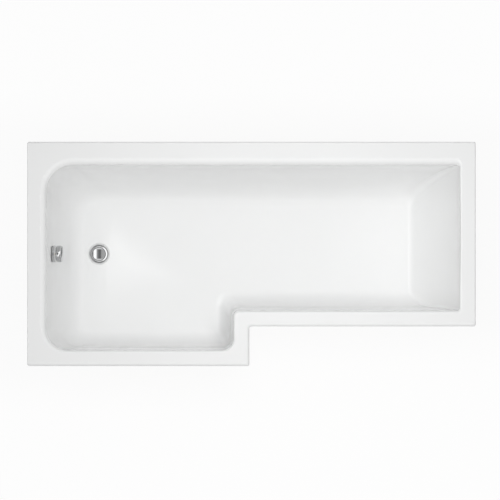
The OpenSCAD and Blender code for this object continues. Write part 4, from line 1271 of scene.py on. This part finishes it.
class BATH_OT_cradles(bpy.types.Operator):
    """Dress the cradles, the wall brackets and their screws"""

    bl_idname = "bath.cradles"
    bl_label = "Cradles and brackets"

    def execute(self, context):
        looks = context.scene.bath_support
        steel, zinc = galvanised_finish(looks.steel), plated_finish()
        for node in ("cradle_waste", "cradle_middle", "cradle_head"):
            refine(node, steel, CRADLE_EDGE, segments=3)
        refine("wall_brackets", steel, BRACKET_EDGE, segments=3)
        for node in ("cradle_screws", "bracket_screws"):
            bm = bmesh.new()
            for low, high in islands(node):
                place, head_r, length = upright(low, high)
                wood_screw(bm, place, length, head_r, head_h=head_r * 0.55, shank_r=head_r * 0.5)
            stand_for(outward_piece(f"{node}_cross_heads", bm), zinc, node)
        return {"FINISHED"}


class BATH_OT_feet(bpy.types.Operator):
    """Build the threaded rods, their nuts, the feet and the soles"""

    bl_idname = "bath.feet"
    bl_label = "Feet"

    def execute(self, context):
        looks = context.scene.bath_support
        zinc, rubber = plated_finish(), rubber_finish()
        plastic = moulded_finish("foot_plastic", looks.foot, roughness=0.42)
        for leg in LEGS:
            rod, foot, sole = f"rod_{leg}", f"foot_{leg}", f"sole_{leg}"
            rod_place, rod_r, length = upright(*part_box(rod))
            bm = bmesh.new()
            threaded_rod(bm, rod_place, rod_r, length, looks.thread_pitch, looks.thread_depth)
            stand_for(piece_from(f"{rod}_thread", bm), zinc, rod)

            place, disc_r, socket_h = upright(*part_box(foot))
            disc_h = rod_place.translation.z - place.translation.z
            piece = foot_piece(
                f"{foot}_ribbed", place, disc_r, disc_h, 2 * rod_r, socket_h, rod_r + ROD_PLAY)
            stand_for(piece, plastic, foot)

            place, sole_r, thickness = upright(*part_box(sole))
            stand_for(sole_piece(f"{sole}_grooved", place, sole_r, thickness), rubber, sole)
        bm = bmesh.new()
        for low, high in islands("rod_nuts"):
            flats = min(high.x - low.x, high.y - low.y)
            # The rods are all alike, so any rod's radius fits any nut
            hex_nut(bm, stood(low, high, low.z), flats, rod_r + ROD_PLAY, high.z - low.z)
        stand_for(outward_piece("rod_nuts_chamfered", bm), zinc, "rod_nuts")
        return {"FINISHED"}


class BATH_OT_waste(bpy.types.Operator):
    """Build the chrome waste flange and plug, and dress the waste below them"""

    bl_idname = "bath.waste"
    bl_label = "Waste"

    def execute(self, context):
        looks = context.scene.bath_fittings
        chrome, rubber = chrome_finish(looks.chrome), rubber_finish()
        plastic = moulded_finish("waste_plastic", looks.moulding, roughness=0.40)
        stand_for(waste_flange(), chrome, "waste_flange")
        stand_for(plug_piece(), chrome, "plug")
        refine("waste_body", plastic, looks.edge)
        for node in ("waste_upper_seal", "waste_lower_seal", "plug_seal"):
            refine(node, rubber, SEAL_EDGE)
        refine("lifting_pin", brass_finish(), PIN_EDGE)
        refine("lift_lever", moulded_finish("lever_plastic", LEVER_ORANGE, roughness=0.45), LEVER_EDGE)
        refine("lever_axle", plated_finish(), LEVER_EDGE)
        return {"FINISHED"}


class BATH_OT_overflow(bpy.types.Operator):
    """Build the overflow, its knob and the pipework to the waste"""

    bl_idname = "bath.overflow"
    bl_label = "Overflow and pipe"

    def execute(self, context):
        looks = context.scene.bath_fittings
        chrome, rubber = chrome_finish(looks.chrome), rubber_finish()
        plastic = moulded_finish("overflow_plastic", looks.moulding, roughness=0.40)
        nut = moulded_finish("nut_plastic", looks.nut, roughness=0.42)
        shown = (
            stand_for(overflow_rose(), chrome, "overflow_flange"),
            refine("overflow_knob", chrome, KNOB_EDGE, segments=3),
            refine("knob_screw", plated_finish("black_oxide", BLACK_OXIDE), GRUB_EDGE),
            refine("knob_spindle", brass_finish(), LEVER_EDGE))
        for piece in shown:
            # The steep wall above the overflow would mirror it as a dark patch
            piece.visible_glossy = False
        refine("overflow_elbow", plastic, looks.edge)
        refine("overflow_pipe", plastic, SEAL_EDGE)
        for node in ("overflow_front_seal", "overflow_back_seal"):
            refine(node, rubber, SEAL_EDGE)
        bm = bmesh.new()
        for low, high in islands("pipe_nuts"):
            centre, size = (low + high) / 2, high - low
            if size.x < size.z:
                place = Matrix.Translation((low.x, centre.y, centre.z)) @ Matrix.Rotation(math.pi / 2, 4, "Y")
                length, outer = size.x, size.z / 2
            else:
                place = Matrix.Translation((centre.x, centre.y, high.z)) @ Matrix.Rotation(math.pi, 4, "Y")
                length, outer = size.z, size.x / 2
            ribbed_nut(bm, place, outer, PIPE_BORE_R, length)
        stand_for(outward_piece("pipe_nuts_ribbed", bm), nut, "pipe_nuts")
        cable = piece_from("cable_sleeve", welded("control_cable"), smooth_below=80)
        cable.modifiers.new("round", "SUBSURF").render_levels = 2
        stand_for(cable, moulded_finish("cable_sleeve", SLEEVE_BLACK, roughness=0.5), "control_cable")
        return {"FINISHED"}


class BATH_OT_studio(bpy.types.Operator):
    """Set up the floor, the sky, the lamp and the camera"""

    bl_idname = "bath.studio"
    bl_label = "Studio"

    def execute(self, context):
        studio = context.scene.bath_studio
        build_floor(studio)
        build_sky(studio)
        build_lamp(studio)
        build_camera(studio)
        context.scene.view_settings.view_transform = "Standard"
        return {"FINISHED"}


class BATH_PT_panel(bpy.types.Panel):
    """Sizes, colours and steps of the shower bath"""

    bl_idname = "BATH_PT_panel"
    bl_label = "Shower Bath"
    bl_space_type = "VIEW_3D"
    bl_region_type = "UI"
    bl_category = "Shower Bath"

    def draw(self, context):
        for title, settings, operators in STEPS:
            box = self.layout.box()
            box.label(text=title)
            group = getattr(context.scene, settings)
            for name in group.__annotations__:
                box.prop(group, name)
            for operator in operators:
                box.operator(operator.bl_idname)


STEPS = (
    ("Tub", "bath_tub", (BATH_OT_tub,)),
    ("Support", "bath_support", (BATH_OT_timber, BATH_OT_cradles, BATH_OT_feet)),
    ("Fittings", "bath_fittings", (BATH_OT_waste, BATH_OT_overflow)),
    ("Studio", "bath_studio", (BATH_OT_studio,)),
)
GROUPS = (
    ("bath_tub", TubSettings),
    ("bath_support", SupportSettings),
    ("bath_fittings", FittingSettings),
    ("bath_studio", StudioSettings),
)
OPERATORS = [operator for step in STEPS for operator in step[2]]


def register():
    """Makes the settings, the operators and the panel known."""
    for name, group in GROUPS:
        bpy.utils.register_class(group)
        setattr(bpy.types.Scene, name, PointerProperty(type=group))
    for kind in (*OPERATORS, BATH_PT_panel):
        bpy.utils.register_class(kind)


def unregister():
    """Takes the panel, the operators and the settings away again."""
    for kind in (BATH_PT_panel, *reversed(OPERATORS)):
        bpy.utils.unregister_class(kind)
    for name, group in reversed(GROUPS):
        delattr(bpy.types.Scene, name)
        bpy.utils.unregister_class(group)


def main():
    """Builds the bath and its studio."""
    register()
    for operator in OPERATORS:
        getattr(bpy.ops.bath, operator.bl_idname.split(".")[1])()


if __name__ == "__main__":
    main()
